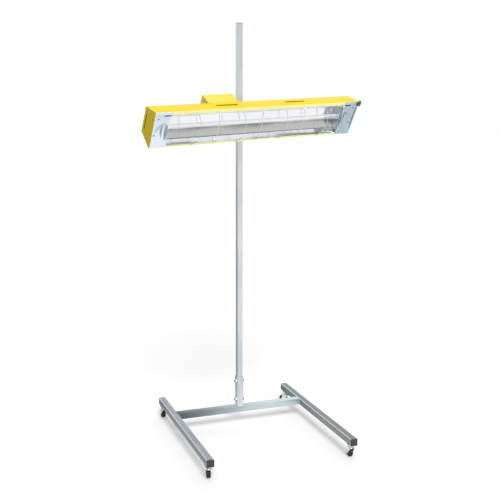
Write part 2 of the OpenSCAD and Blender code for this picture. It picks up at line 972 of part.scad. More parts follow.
function lead_route(side) = [
    [side * (quartz_half - lamp_cap_pocket + lamp_cap_length), lamp_y, 0],
    [side * (quartz_half - lamp_cap_pocket + lamp_cap_length + 5), lamp_y, 0],
    [side * (head_length / 2 - 17), lamp_y + 4, 3],
    [side * (head_length / 2 - 14), lead_y - 14, lead_z - 8],
    [side * (head_length / 2 - 22), lead_y, lead_z],
    [lead_hole.x + side * 16, lead_y, lead_z],
    [lead_hole.x + side * 5, lead_y + 5, lead_hole.y + 1],
    [lead_hole.x + side * 5, head_depth + 12, lead_hole.y - 4],
    [lead_hole.x + side * 5, head_depth + 12, -8]
];

module lamp_leads() {
    color(dark_plastic) at_head() for (side = [-1, 1]) {
        lead(lead_route(side));
    }
}

// Terminal box on the rear of the head

module terminal_box() {
    size = [box_x[1] - box_x[0], box_y - head_depth, box_z[1] - box_z[0]];
    flange = [size.x + 2 * box_flange, sheet, size.z - 14];
    color(yellow) at_head() difference() {
        union() {
            translate([box_x[0], head_depth, box_z[0]]) cube(size);
            translate([box_x[0] - box_flange, head_depth, box_z[0] + 3]) cube(flange);
        }
        translate([box_x[0] + sheet, head_depth - 1, box_z[0] + sheet]) {
            cube([size.x - 2 * sheet, size.y - sheet + 1, size.z - 2 * sheet]);
        }
        translate([gland_x, gland_y, box_z[0] - 1]) cylinder(r = 8.1, h = 4);
        translate([switch_x - 9.5, box_y - 3, switch_z - 13.5]) cube([19, 6, 27]);
        for (p = box_screws()) {
            translate(p - [0, 1, 0]) rotate([-90, 0, 0]) cylinder(r = screw[0] + 0.1, h = 4);
        }
    }
}

module terminal_block() {
    color(ceramic) at_head() difference() {
        translate([lead_hole.x - 16, head_depth + 1, -28]) cube([32, 19, 20]);
        for (x = [-5, 5]) {
            translate([lead_hole.x + x, head_depth + 12, -10]) cylinder(r = lead_r + 0.1, h = 4);
        }
    }
}

module cable_gland() {
    color(black) at_head() translate([gland_x, gland_y, box_z[0]]) difference() {
        union() {
            translate([0, 0, -6]) hexagon(22, 6);
            translate([0, 0, -1]) cylinder(r = 8, h = 9);
            translate([0, 0, -20]) cylinder(r = 9.5, h = 15);
        }
        translate([0, 0, -30]) cylinder(r = gland_bore, h = 50);
    }
}

module gland_nut() {
    color(black) at_head() translate([gland_x, gland_y, box_z[0] + sheet]) difference() {
        hexagon(22, 4);
        translate([0, 0, -1]) cylinder(r = 8.05, h = 6);
    }
}

module at_switch() {
    at_head() translate([switch_x, box_y, switch_z]) children();
}

module switch_body() {
    color(black) at_switch() difference() {
        union() {
            translate([-11, 0, -15]) cube([22, 2, 30]);
            translate([-9.3, -22, -13.3]) cube([18.6, 22.5, 26.6]);
        }
        translate([-8.3, -9, -12.3]) cube([16.6, 12, 24.6]);
        translate([-9, -1, 0]) rotate([0, 90, 0]) cylinder(r = 1.56, h = 18);
    }
}

module switch_rocker() {
    color(black) at_switch() translate([0, -1, 0]) rotate([rocker_angle, 0, 0]) {
        along_x(-7.9, 15.8) {
            circle(r = 3);
            polygon([[-3, -5], [-1, -11.4], [3.2, -11.4], [2.4, 0], [3.2, 11.4], [-1, 11.4], [-3, 5]]);
        }
        translate([-8.9, 0, 0]) rotate([0, 90, 0]) cylinder(r = 1.5, h = 17.8);
    }
}

left_leg();
right_leg();
cross_tube();
mast_socket();
leg_caps();
socket_bolts();
socket_nuts();
mast();
mast_cap();
castor_stems();
front_left_fork();
front_right_fork();
rear_left_fork();
rear_right_fork();
front_left_axle();
front_right_axle();
rear_left_axle();
rear_right_axle();
front_left_wheel();
front_right_wheel();
rear_left_wheel();
rear_right_wheel();
carriage_sleeve();
carriage_plate();
level_stud();
level_washers();
level_nut();
clamp_boss();
clamp_screw();
clamp_knob();
yoke();
swivel_bolt();
swivel_nut();
swivel_washers();
swivel_block();
head_bracket();
bracket_bolts();
tilt_bolt();
tilt_washers();
tilt_knob();
casing();
end_plate_left();
end_plate_right();
sheet_screws();
corner_buffer();
reflector();
end_reflector_left();
end_reflector_right();
guard_wires();
lamp_tube();
lamp_filament();
lamp_caps();
lamp_brackets();
lamp_leads();
terminal_box();
terminal_block();
cable_gland();
gland_nut();
switch_body();
switch_rocker();
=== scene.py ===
"""An infrared curing lamp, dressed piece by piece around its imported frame. All sizes are in metres."""

import json
import math

import bpy
from mathutils import Matrix, Vector

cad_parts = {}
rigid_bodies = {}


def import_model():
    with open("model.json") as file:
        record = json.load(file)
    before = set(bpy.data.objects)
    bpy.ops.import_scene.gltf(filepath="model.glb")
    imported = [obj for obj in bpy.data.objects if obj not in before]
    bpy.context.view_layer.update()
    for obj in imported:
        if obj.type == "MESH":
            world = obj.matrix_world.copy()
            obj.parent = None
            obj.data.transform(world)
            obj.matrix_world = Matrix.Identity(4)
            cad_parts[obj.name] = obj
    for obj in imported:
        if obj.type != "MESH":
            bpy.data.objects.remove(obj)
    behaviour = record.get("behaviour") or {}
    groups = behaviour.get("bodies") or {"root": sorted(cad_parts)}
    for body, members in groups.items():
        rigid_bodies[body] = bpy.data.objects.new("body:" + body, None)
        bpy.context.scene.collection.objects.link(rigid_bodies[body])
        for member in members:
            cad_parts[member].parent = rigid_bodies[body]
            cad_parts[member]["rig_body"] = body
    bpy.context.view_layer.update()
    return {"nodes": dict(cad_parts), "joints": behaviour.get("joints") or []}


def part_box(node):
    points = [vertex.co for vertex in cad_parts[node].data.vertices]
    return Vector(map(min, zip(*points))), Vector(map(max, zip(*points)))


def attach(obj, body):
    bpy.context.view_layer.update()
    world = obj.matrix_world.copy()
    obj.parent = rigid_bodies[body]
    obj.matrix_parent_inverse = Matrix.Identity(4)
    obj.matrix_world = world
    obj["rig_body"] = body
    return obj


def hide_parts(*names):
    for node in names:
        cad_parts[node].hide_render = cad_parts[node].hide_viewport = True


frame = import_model()
joints = {joint["name"]: joint for joint in frame["joints"]}

# The camera stands a little to the left of the lamp at chest height and looks slightly down at it, as the
# photographer did. Its turn, pitch and lens come from the corners of the base, the mast and the head.
camera_place = Vector((-1.20586, -3.43284, 1.40532))
pitch, turn, roll = (math.radians(angle) for angle in (9.37, -20.11, -0.12))
forward = Vector((-math.sin(turn) * math.cos(pitch), math.cos(turn) * math.cos(pitch), -math.sin(pitch)))
level_right = Vector((math.cos(turn), math.sin(turn), 0))
level_down = forward.cross(level_right)
right = level_right * math.cos(roll) + level_down * math.sin(roll)
down = level_down * math.cos(roll) - level_right * math.sin(roll)
bpy.ops.object.camera_add()
camera = bpy.context.object
camera_turn = Matrix((right, -down, -forward)).transposed().to_4x4()
camera.matrix_world = Matrix.Translation(camera_place) @ camera_turn
camera.data.lens = 59.94
camera.data.sensor_width = 36
camera.data.clip_end = 200
bpy.context.scene.camera = camera


# A pale studio floor carries the lamp's soft shadow. It is a matt white sheet, which sends only part of its
# light back up, so that the undersides stay in shade. In bounced and mirrored light it is painted darker
# behind the lamp and to its left, a painted shade that keeps the left faces of the metal dark.
def feed(tree, socket, value):
    """Links a socket to the output of another node, or sets its own value."""
    if isinstance(value, bpy.types.NodeSocket):
        tree.links.new(value, socket)
    else:
        socket.default_value = value


def shader_node(tree, kind, inputs=(), **settings):
    """A new node in a shader tree, with its own settings and with its inputs linked or set."""
    node = tree.nodes.new(kind)
    for key, value in settings.items():
        setattr(node, key, value)
    for key, value in dict(inputs).items():
        feed(tree, node.inputs[key], value)
    return node


def worked(tree, operation, first, second):
    """The result of a sum with two values."""
    return shader_node(tree, "ShaderNodeMath", {0: first, 1: second}, operation=operation).outputs[0]


def mixed(tree, share, first, second):
    """A value that goes from the first to the second as a share goes from 0 to 1."""
    return shader_node(tree, "ShaderNodeMix", {0: share, 2: first, 3: second}).outputs[0]


def mixed_colour(tree, share, first, second):
    """A colour that goes from the first to the second as a share goes from 0 to 1."""
    return shader_node(tree, "ShaderNodeMix", {0: share, 6: first, 7: second}, data_type="RGBA").outputs[2]


def eased_between(tree, source, low, high):
    """A smooth rise from 0 to 1 as a value goes from low to high."""
    return shader_node(tree, "ShaderNodeMapRange", {"Value": source, "From Min": low, "From Max": high},
                       interpolation_type="SMOOTHSTEP").outputs["Result"]


def spread_between(tree, share, low, high):
    """A value that goes from low to high as a share goes from 0 to 1."""
    spread = shader_node(tree, "ShaderNodeMapRange", {"Value": share, "To Min": low, "To Max": high})
    return spread.outputs["Result"]


def axes_of(tree, output, kind="ShaderNodeTexCoord"):
    """The X, Y and Z of a place or a direction."""
    return shader_node(tree, "ShaderNodeSeparateXYZ", {0: shader_node(tree, kind).outputs[output]}).outputs


floor_white = bpy.data.materials.new("floor_white")
floor_white.use_nodes = True
floor_tree = floor_white.node_tree
floor_tree.nodes.clear()
floor_axes = axes_of(floor_tree, "Object")
floor_rays = shader_node(floor_tree, "ShaderNodeLightPath").outputs
# Painted shade: for bounced and mirrored light the floor is darker behind the lamp and to its left.
in_front = eased_between(floor_tree, floor_axes["Y"], 0.7, -0.1)
not_left = eased_between(floor_tree, floor_axes["X"], -0.75, -0.30)
under_base = eased_between(floor_tree, floor_axes["X"], -0.41, -0.35)
for_others = spread_between(floor_tree, worked(floor_tree, "MULTIPLY", in_front, not_left), 0.24, 0.95)
for_metal = spread_between(floor_tree, worked(floor_tree, "MULTIPLY", in_front, under_base), 0.36, 0.98)
seen_bare = mixed(floor_tree, floor_rays["Is Glossy Ray"], for_others, for_metal)
floor_tone = mixed(floor_tree, floor_rays["Is Camera Ray"], seen_bare, 0.90)
floor_lift = worked(floor_tree, "MULTIPLY", floor_rays["Is Camera Ray"], 0.13)
lit_floor = shader_node(floor_tree, "ShaderNodeBsdfDiffuse", {"Color": floor_tone})
glow = shader_node(floor_tree, "ShaderNodeEmission", {"Strength": floor_lift, "Color": (1, 1, 1, 1)})
floor_mix = shader_node(floor_tree, "ShaderNodeAddShader", {0: lit_floor.outputs[0], 1: glow.outputs[0]})
shader_node(floor_tree, "ShaderNodeOutputMaterial", {"Surface": floor_mix.outputs[0]})
bpy.ops.mesh.primitive_plane_add(size=80)
floor = bpy.context.object
floor.name = "floor"
floor.data.materials.append(floor_white)

# Soft daylight comes from all round. One broad lamp stands high in front and a weak one fills in from
# behind. The camera sees a white backdrop, and bare metal mirrors a white room too, with a dimmer wall low
# behind the camera.
ambient, white = (0.42, 0.42, 0.42, 1), (1, 1, 1, 1)
dado_colour, wall_colour = (0.14, 0.13, 0.13, 1), (0.60, 0.58, 0.54, 1)
world = bpy.data.worlds.new("studio")
bpy.context.scene.world = world
world.use_nodes = True
sky_tree = world.node_tree
sky_tree.nodes.clear()
sky_axes = axes_of(sky_tree, "Generated")
sky_rays = shader_node(sky_tree, "ShaderNodeLightPath").outputs
near_level = eased_between(sky_tree, sky_axes["Z"], 0.17, 0.12)
overhead = eased_between(sky_tree, sky_axes["Z"], 0.60, 0.78)
behind = eased_between(sky_tree, sky_axes["Y"], -0.2, 0.5)
bright_room = worked(sky_tree, "MAXIMUM", worked(sky_tree, "MAXIMUM", near_level, overhead), behind)
in_view = worked(sky_tree, "MAXIMUM", sky_rays["Is Camera Ray"], sky_rays["Is Transmission Ray"])
over_dado = eased_between(sky_tree, sky_axes["Z"], 0.20, 0.28)
under_cornice = eased_between(sky_tree, sky_axes["Z"], 0.57, 0.49)
wall_part = worked(sky_tree, "MULTIPLY", over_dado, under_cornice)
far_wall = mixed_colour(sky_tree, wall_part, dado_colour, wall_colour)
room_colour = mixed_colour(sky_tree, worked(sky_tree, "MAXIMUM", bright_room, in_view), far_wall, white)
bare_or_seen = worked(sky_tree, "MAXIMUM", in_view, sky_rays["Is Glossy Ray"])
sky_colour = mixed_colour(sky_tree, bare_or_seen, ambient, room_colour)
backdrop = shader_node(sky_tree, "ShaderNodeBackground", {"Color": sky_colour, "Strength": 1.0})
shader_node(sky_tree, "ShaderNodeOutputWorld", {"Surface": backdrop.outputs[0]})


def sunlight(comes_from, strength, spread):
    """A distant lamp that shines from a direction, with its spread in degrees."""
    bpy.ops.object.light_add(type="SUN")
    lamp = bpy.context.object
    lamp.rotation_euler = Vector(comes_from).to_track_quat("Z", "Y").to_euler()
    lamp.data.energy = strength
    lamp.data.angle = math.radians(spread)
    return lamp


sunlight((-0.10, -0.68, 0.72), 2.0, 26)
fill = sunlight((0.35, 0.85, 0.45), 0.9, 70)
fill.visible_glossy = False
bpy.context.scene.view_settings.view_transform = "Standard"


# The base, the mast and its socket are square steel tube, cut to length and plated with blue-passivated
# zinc. The zinc has a cloudy blue-grey tone, and the drawing of the tube left fine streaks along its length.
def make_cloud_group():
    """Colour that drifts between two tones in soft clouds, with a fine grain for roughness and relief."""
    group = bpy.data.node_groups.new("cloud_and_grain", "ShaderNodeTree")
    for name, kind, default in (("Tone A", "Color", None), ("Tone B", "Color", None),
                                ("Stretch", "Vector", (1, 1, 1)), ("Cloud scale", "Float", 20),
                                ("Grain scale", "Float", 400), ("Rough low", "Float", 0.3),
                                ("Rough high", "Float", 0.4)):
        socket = group.interface.new_socket(name, in_out="INPUT", socket_type="NodeSocket" + kind)
        if default is not None:
            socket.default_value = default
    for name, kind in (("Colour", "Color"), ("Roughness", "Float"), ("Height", "Float")):
        group.interface.new_socket(name, in_out="OUTPUT", socket_type="NodeSocket" + kind)
    given = shader_node(group, "NodeGroupInput").outputs
    place = shader_node(group, "ShaderNodeTexCoord").outputs["Object"]
    stretched = shader_node(group, "ShaderNodeVectorMath", {0: place, 1: given["Stretch"]},
                            operation="MULTIPLY").outputs[0]
    cloud = shader_node(group, "ShaderNodeTexNoise", {"Vector": stretched, "Scale": given["Cloud scale"],
                                                      "Detail": 5, "Roughness": 0.6}).outputs["Fac"]
    grain = shader_node(group, "ShaderNodeTexNoise", {"Vector": stretched, "Scale": given["Grain scale"],
                                                      "Detail": 3, "Roughness": 0.55}).outputs["Fac"]
    clear = shader_node(group, "ShaderNodeMapRange", {"Value": cloud, "From Min": 0.32, "From Max": 0.68})
    both = worked(group, "MULTIPLY", worked(group, "ADD", cloud, grain), 0.5)
    rough = shader_node(group, "ShaderNodeMapRange", {
        "Value": both, "From Min": 0.3, "From Max": 0.7, "To Min": given["Rough low"],
        "To Max": given["Rough high"]}).outputs["Result"]
    tone = mixed_colour(group, clear.outputs["Result"], given["Tone A"], given["Tone B"])
    shader_node(group, "NodeGroupOutput", {"Colour": tone, "Roughness": rough, "Height": grain})
    return group


cloud_and_grain = make_cloud_group()


def finish_of(name, tones, roughness, cloud=20, grain=400, stretch=(1, 1, 1), relief=0.1, depth=0.0002,
              **shader_inputs):
    """A material with tone, roughness and relief from the cloud group; the rest is set on the shader."""
    material = bpy.data.materials.new(name)
    material.use_nodes = True
    tree = material.node_tree
    inputs = tree.nodes["Principled BSDF"].inputs
    given = {"Tone A": (*tones[0], 1), "Tone B": (*tones[1], 1), "Stretch": stretch, "Cloud scale": cloud,
             "Grain scale": grain, "Rough low": roughness[0], "Rough high": roughness[1]}
    group = shader_node(tree, "ShaderNodeGroup", given, node_tree=cloud_and_grain).outputs
    bump = shader_node(tree, "ShaderNodeBump", {"Height": group["Height"], "Strength": relief,
                                                "Distance": depth})
    for key, source in (("Base Color", group["Colour"]), ("Roughness", group["Roughness"]),
                        ("Normal", bump.outputs["Normal"])):
        feed(tree, inputs[key], source)
    for key, value in shader_inputs.items():
        inputs[key.replace("_", " ")].default_value = value
    return material


def zinc_along(axis, name, dark, pale):
    """Zinc plate on a tube whose streaks run along X, Y or Z."""
    stretch = [1.0, 1.0, 1.0]
    stretch["XYZ".index(axis)] = 0.12
    return finish_of(name, (dark, pale), (0.26, 0.42), cloud=34, grain=900, stretch=stretch, relief=0.12,
                     Metallic=0.86)


# Each tube gets its own tone of the one zinc, the right leg darkest and the mast and cross tube palest:
# painted light and shade for what each tube mirrors.
zinc_left = zinc_along("Y", "zinc_left_leg", (0.27, 0.29, 0.325), (0.40, 0.43, 0.475))
zinc_right = zinc_along("Y", "zinc_right_leg", (0.17, 0.195, 0.20), (0.27, 0.30, 0.305))
zinc_z = zinc_along("Z", "zinc_mast", (0.58, 0.63, 0.66), (0.80, 0.84, 0.86))
zinc_x = zinc_along("X", "zinc_cross_tube", (0.54, 0.66, 0.70), (0.70, 0.80, 0.84))
for node, zinc in (("left_leg", zinc_left), ("right_leg", zinc_right), ("mast", zinc_z)):
    for place in frame["nodes"][node].material_slots:
        place.material = zinc

# The upper corners of the legs are painted pale, a painted highlight along their rounded edges. The cross
# tube is painted darker towards its left end, a painted shade.
corner_highlight_zinc = (0.85, 0.92, 0.95, 1)
for zinc in (zinc_left, zinc_right):
    tree = zinc.node_tree
    colour = tree.nodes["Principled BSDF"].inputs["Base Color"]
    facing = axes_of(tree, "Normal", "ShaderNodeNewGeometry")["Z"]
    corner_highlight_mask = worked(tree, "MULTIPLY", eased_between(tree, facing, 0.25, 0.55),
                    eased_between(tree, facing, 0.995, 0.90))
    feed(tree, colour, mixed_colour(tree, corner_highlight_mask, colour.links[0].from_socket, corner_highlight_zinc))
tree = zinc_x.node_tree
colour = tree.nodes["Principled BSDF"].inputs["Base Color"]
# Painted shade: the zinc's colour is scaled down towards the left end of the cross tube.
to_the_right = eased_between(tree, axes_of(tree, "Object")["X"], -0.30, 0.16)
left_end_painted_shade = spread_between(tree, to_the_right, 0.20, 1.0)
darkened = shader_node(tree, "ShaderNodeVectorMath", {0: colour.links[0].from_socket, "Scale": left_end_painted_shade},
                       operation="SCALE")
feed(tree, colour, darkened.outputs[0])


# The four leg ends and the top of the mast are closed by moulded plastic caps, pressed into the tube as far
# as a domed flange. The plastic is dark grey with a fine spark-eroded grain.
def alone(piece):
    """Leaves one piece selected and active, in object mode."""
    if bpy.context.object is not None and bpy.context.object.mode == "EDIT":
        bpy.ops.object.mode_set(mode="OBJECT")
    bpy.ops.object.select_all(action="DESELECT")
    piece.select_set(True)
    bpy.context.view_layer.objects.active = piece


def apply(piece, kind, **settings):
    """Adds a modifier with its settings to a piece and applies it."""
    alone(piece)
    modifier = piece.modifiers.new(kind.lower(), kind)
    for key, value in settings.items():
        setattr(modifier, key, value)
    bpy.ops.object.modifier_apply(modifier=modifier.name)


def smooth(piece, angle=38):
    """Smooth shading over all edges that turn less than an angle."""
    alone(piece)
    bpy.ops.object.shade_smooth_by_angle(angle=math.radians(angle))
    return piece


def rounded(piece, width, segments=2, angle=32):
    """Rounds a piece's sharp edges and shades it smooth, with its flats kept flat."""
    smooth(piece, angle)
    apply(piece, "BEVEL", width=width, segments=segments, limit_method="ANGLE",
          angle_limit=math.radians(angle), harden_normals=True, use_clamp_overlap=True)
    return piece


def copy_of(node, name):
    """A piece that starts as a copy of a CAD node, merged to whole faces."""
    piece = bpy.data.objects.new(name, frame["nodes"][node].data.copy())
    bpy.context.scene.collection.objects.link(piece)
    alone(piece)
    bpy.ops.object.mode_set(mode="EDIT")
    bpy.ops.mesh.select_all(action="SELECT")
    bpy.ops.mesh.remove_doubles(threshold=0.00001)
    bpy.ops.mesh.dissolve_limited(angle_limit=math.radians(0.6))
    bpy.ops.object.mode_set(mode="OBJECT")
    return piece


def stands_for(piece, material, node):
    """Gives a finished piece its material and puts it in the place of its CAD node."""
    piece.data.materials.clear()
    piece.data.materials.append(material)
    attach(piece, frame["nodes"][node]["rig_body"])
    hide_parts(node)


def softened(node, name, material, width, segments=2):
    """A piece with the shape of its CAD node and rounded edges."""
    stands_for(rounded(copy_of(node, name), width, segments), material, node)


dark_moulding = finish_of("dark_moulding", ((0.030, 0.032, 0.038), (0.048, 0.050, 0.058)), (0.42, 0.58),
                          cloud=60, grain=2600, relief=0.35, depth=0.0001)
for node in ("leg_caps", "mast_cap"):
    softened(node, "moulded_" + node, dark_moulding, 0.0008, 3)


# Each castor's fork is pressed from 2 mm sheet, domed over the ball race and closed to two cheeks, and zinc
# plated bright. The stem, the race rings and the riveted axle are plated steel as well.
def started(name, add, **settings):
    """A new piece from one of the plain shapes."""
    bpy.ops.object.select_all(action="DESELECT")
    add(**settings)
    bpy.context.object.name = name
    return bpy.context.object


def turned(name, profile, sides=48):
    """A piece turned on a lathe about Z from its profile, a list of radii and heights."""
    piece = started(name, bpy.ops.mesh.primitive_plane_add, size=0.001)
    bpy.ops.object.mode_set(mode="EDIT")
    bpy.context.tool_settings.mesh_select_mode = (True, False, False)
    bpy.ops.mesh.select_all(action="SELECT")
    bpy.ops.mesh.merge(type="CENTER")
    bpy.ops.transform.translate(value=(profile[0][0], 0, profile[0][1]))
    for before, after in zip(profile, profile[1:]):
        bpy.ops.mesh.extrude_vertices_move(
            TRANSFORM_OT_translate={"value": (after[0] - before[0], 0, after[1] - before[1])})
    bpy.ops.mesh.select_all(action="SELECT")
    bpy.ops.mesh.spin(steps=sides, angle=math.tau, center=(0, 0, 0), axis=(0, 0, 1))
    bpy.ops.mesh.select_all(action="SELECT")
    bpy.ops.mesh.remove_doubles(threshold=0.000005)
    bpy.ops.mesh.normals_make_consistent(inside=False)
    bpy.ops.object.mode_set(mode="OBJECT")
    return piece


def rod(name, radius, low, high, sides):
    """A plain round rod along Z, mostly a cutter."""
    return turned(name, [(0, low), (radius, low), (radius, high), (0, high)], sides)


def arc(centre, radius, start, end, steps):
    """Points on an arc in a profile, between two angles in degrees."""
    angles = [math.radians(start + (end - start) * step / steps) for step in range(steps + 1)]
    return [(centre[0] + radius * math.cos(angle), centre[1] + radius * math.sin(angle)) for angle in angles]


def mirrored(points):
    """A profile's or outline's points over again in reverse order, on the other side of the middle."""
    return [(first, -second) for first, second in reversed(points)]


def shift(x, y, z):
    """A move along the three axes."""
    return Matrix.Translation((x, y, z))


def turn_by(degrees, axis):
    """A turn about one of the axes."""
    return Matrix.Rotation(math.radians(degrees), 4, axis)


def join(name, pieces):
    """One piece from several."""
    alone(pieces[0])
    for piece in pieces:
        piece.select_set(True)
    bpy.ops.object.join()
    bpy.context.object.name = name
    return bpy.context.object


def put(piece, place):
    """Moves a piece to its place and writes the place into its mesh."""
    alone(piece)
    piece.matrix_world = place @ piece.matrix_world
    bpy.ops.object.transform_apply(location=True, rotation=True, scale=True)
    return piece


def copies_of(pattern, places):
    """Copies of a pattern at several places, each with its own mesh; the pattern itself goes."""
    copies = []
    for place in places:
        twin = bpy.data.objects.new(pattern.name + "_copy", pattern.data.copy())
        bpy.context.scene.collection.objects.link(twin)
        copies.append(put(twin, place))
    bpy.data.objects.remove(pattern)
    return copies


def pull_out(piece, way):
    """Makes a flat piece solid, pulled out along a way."""
    bpy.ops.object.mode_set(mode="EDIT")
    bpy.ops.mesh.select_all(action="SELECT")
    bpy.ops.mesh.extrude_region_move(TRANSFORM_OT_translate={"value": way})
    bpy.ops.mesh.select_all(action="SELECT")
    bpy.ops.mesh.normals_make_consistent(inside=False)
    bpy.ops.object.mode_set(mode="OBJECT")
    return piece


def plate(name, outline, low, high):
    """A flat plate square to X, with an outline of depth and height."""
    piece = started(name, bpy.ops.mesh.primitive_circle_add, vertices=len(outline), fill_type="NGON")
    for vertex, point in zip(piece.data.vertices, outline):
        vertex.co = (low, *point)
    return pull_out(piece, (high - low, 0, 0))


def block(name, low, high):
    """A plain block between two corners, as a start for a piece or as a cutter."""
    middle, size = zip(*(((a + b) / 2, b - a) for a, b in zip(low, high)))
    piece = started(name, bpy.ops.mesh.primitive_cube_add, size=1, location=middle, scale=size)
    return put(piece, Matrix.Identity(4))


def cut(piece, *cutters, operation="DIFFERENCE"):
    """Takes the cutters out of a piece, or what is outside them."""
    for cutter in cutters:
        apply(piece, "BOOLEAN", object=cutter, operation=operation, solver="EXACT")
        bpy.data.objects.remove(cutter)
    return piece


bright_zinc = finish_of("bright_zinc", ((0.62, 0.66, 0.71), (0.74, 0.77, 0.80)), (0.16, 0.30), cloud=90,
                        grain=1500, relief=0.08, Metallic=1.0)
# The forks get a paler, smoother copy of the bright zinc, a painted highlight on their domes.
fork_zinc_highlight = finish_of("fork_zinc_painted_highlight", ((0.76, 0.79, 0.82), (0.88, 0.90, 0.92)), (0.10, 0.18), cloud=90,
                      grain=1500, relief=0.04, Metallic=1.0)
fork_top, dome_radius, axle_height, wheel_radius, trail = 0.048, 0.0175, 0.020, 0.020, 0.012
castor_names = ("front_left", "front_right", "rear_left", "rear_right")
axle_place = shift(0, -trail, axle_height) @ turn_by(90, "Y")


def castor_frame(name):
    """Place of a castor's stem, with Y opposite to the trailing wheel and X along its axle."""
    stem = Vector(joints[name + "_swivel"]["pos_m"])
    axle_at = Vector(joints[name + "_roll"]["pos_m"])
    backwards = Vector((stem.x - axle_at.x, stem.y - axle_at.y, 0)).normalized()
    across = backwards.cross(Vector((0, 0, 1)))
    return shift(stem.x, stem.y, 0) @ Matrix((across, backwards, Vector((0, 0, 1)))).transposed().to_4x4()


def on_castors(pattern, place, material, name_start, node_end):
    """Puts a copy of a pattern on each castor, at a place in the castor's own frame."""
    copies = copies_of(pattern, [castor_frame(name) @ place for name in castor_names])
    for name, piece in zip(castor_names, copies):
        piece.name = name_start + name
        stands_for(piece, material, name + node_end)


cheek_in, cheek_out, fork_sheet, fork_bend = 0.0095, 0.0115, 0.0020, 0.0075
skirt_height, stem_hole = 0.0360, 0.0041
bend_centre = (dome_radius - fork_bend, fork_top - fork_bend)
skirt_edge = (dome_radius - fork_sheet / 2, skirt_height + fork_sheet / 2)
dome_profile = ([(stem_hole, fork_top - fork_sheet), (stem_hole, fork_top - 0.0003),
                 (stem_hole + 0.0003, fork_top)]
                + arc(bend_centre, fork_bend, 90, 0, 12) + arc(skirt_edge, fork_sheet / 2, 0, -180, 6)
                + arc(bend_centre, fork_bend - fork_sheet, 0, 90, 10) + [(stem_hole, fork_top - fork_sheet)])
between_cheeks = block("slot", (-cheek_in, -0.04, 0), (cheek_in, 0.04, fork_top - 0.006))
dome = smooth(cut(turned("dome", dome_profile, 72), between_cheeks), 35)
cheek_top = []
for y in (-0.0125, -0.010, -0.007, -0.0035, 0, 0.0035, 0.007, 0.010, 0.012):
    out = math.hypot(y, (cheek_in + cheek_out) / 2) - bend_centre[0]
    cheek_top.append((y, bend_centre[1] + math.sqrt(max(0, (fork_bend - fork_sheet / 2) ** 2 - out ** 2))))
cheek_outline = (cheek_top + [(0.012, skirt_height)] + arc((-trail, axle_height), 0.007, -24, -196, 16)
                 + [(-0.015, skirt_height)])
fork_pieces = [dome]
for low, high in ((-cheek_out, -cheek_in), (cheek_in, cheek_out)):
    drill = put(rod("drill", 0.0031, -0.03, 0.03, 32), axle_place)
    cheek = cut(plate("cheek", cheek_outline, low, high), drill)
    fork_pieces.append(rounded(cheek, 0.0004))
on_castors(join("fork_pattern", fork_pieces), Matrix.Identity(4), fork_zinc_highlight, "pressed_fork_", "_fork")

rivet_profile = [(0, -0.0130), (0.0036, -0.0130), (0.0048, -0.0124), (0.0050, -0.0115), (0.0030, -0.0115),
                 (0.0030, 0.0115), (0.0050, 0.0115), (0.0048, 0.0124), (0.0036, 0.0130), (0.0022, 0.0130),
                 (0.0016, 0.0124), (0, 0.0124)]
axle_pattern = smooth(turned("axle_pattern", rivet_profile, 32))
on_castors(axle_pattern, axle_place, bright_zinc, "axle_rivet_", "_axle")

stem_profile = ([(0, 0.0687), (0.0034, 0.0687), (0.0040, 0.0680), (0.0040, 0.0590), (0.0160, 0.0590)]
                + arc((0.0158, 0.0578), 0.0012, 90, -10, 4) + [(0.0166, 0.0562), (0.0132, 0.0560)]
                + arc((0.0119, 0.0525), 0.0011, 90, -90, 6)
                + [(0.0120, 0.0483), (0.0040, 0.0483), (0.0040, 0.0457), (0.0064, 0.0457), (0.0070, 0.0452),
                   (0.0070, 0.0443), (0.0060, 0.0437), (0.0040, 0.0437), (0.0036, 0.0440), (0, 0.0440)])
stem_pattern = smooth(turned("stem_pattern", stem_profile))
stems = join("castor_stems_and_races", copies_of(stem_pattern, [castor_frame(name) for name in castor_names]))
stands_for(stems, bright_zinc, "castor_stems")

# The wheels are black nylon with a moulded web and hub, under a softer black tread that has a fine mould
# line round its middle.
black_nylon = finish_of("black_nylon", ((0.006, 0.006, 0.0065), (0.012, 0.012, 0.013)), (0.40, 0.55),
                        cloud=120, grain=2600, relief=0.3, depth=0.0001)
tread_bend, mould_line = 0.0032, 0.0004
half_tread = arc((wheel_radius - tread_bend, -0.0053), tread_bend, -110, 0, 6) + [(wheel_radius, -mould_line)]
half_web = [(0.0031, -0.0083), (0.0066, -0.0083), (0.0070, -0.0079), (0.0074, -0.0040), (0.0080, -0.0034),
            (0.0124, -0.0034), (0.0130, -0.0040), (0.0134, -0.0074), (0.0138, -0.0078), (0.0148, -0.0078)]
wheel_profile = (half_web + half_tread + [(wheel_radius - 0.0002, 0)] + mirrored(half_web + half_tread)
                 + [half_web[0]])
wheel_pattern = smooth(turned("wheel_pattern", wheel_profile, 64), 30)
on_castors(wheel_pattern, axle_place, black_nylon, "castor_wheel_", "_wheel")


# Two bolts hold the mast in its socket, with black heads on the right and plated nuts on the left. Hexagons
# have chamfered corners, and the threads stand out of the nuts.
def hexagon(name, flats, height, bore=0):
    """A hexagon from Z = 0 up with chamfered corners on its upper side, bored if a radius is given."""
    piece = put(started(name, bpy.ops.mesh.primitive_cylinder_add, vertices=6, radius=flats / math.sqrt(3),
                        depth=height), shift(0, 0, height / 2))
    face_radius = 0.465 * flats
    chamfer = turned("chamfer", [(0, -0.001), (flats, -0.001), (flats, height - 0.28 * (flats - face_radius)),
                                 (face_radius, height), (0, height)], 48)
    cut(piece, chamfer, operation="INTERSECT")
    if bore:
        cut(piece, turned("drill", [(0, -0.001), (bore, -0.001), (bore, height - bore * 0.15),
                                    (bore * 1.2, height + 0.0001), (0, height + 0.0001)], 24))
    return piece


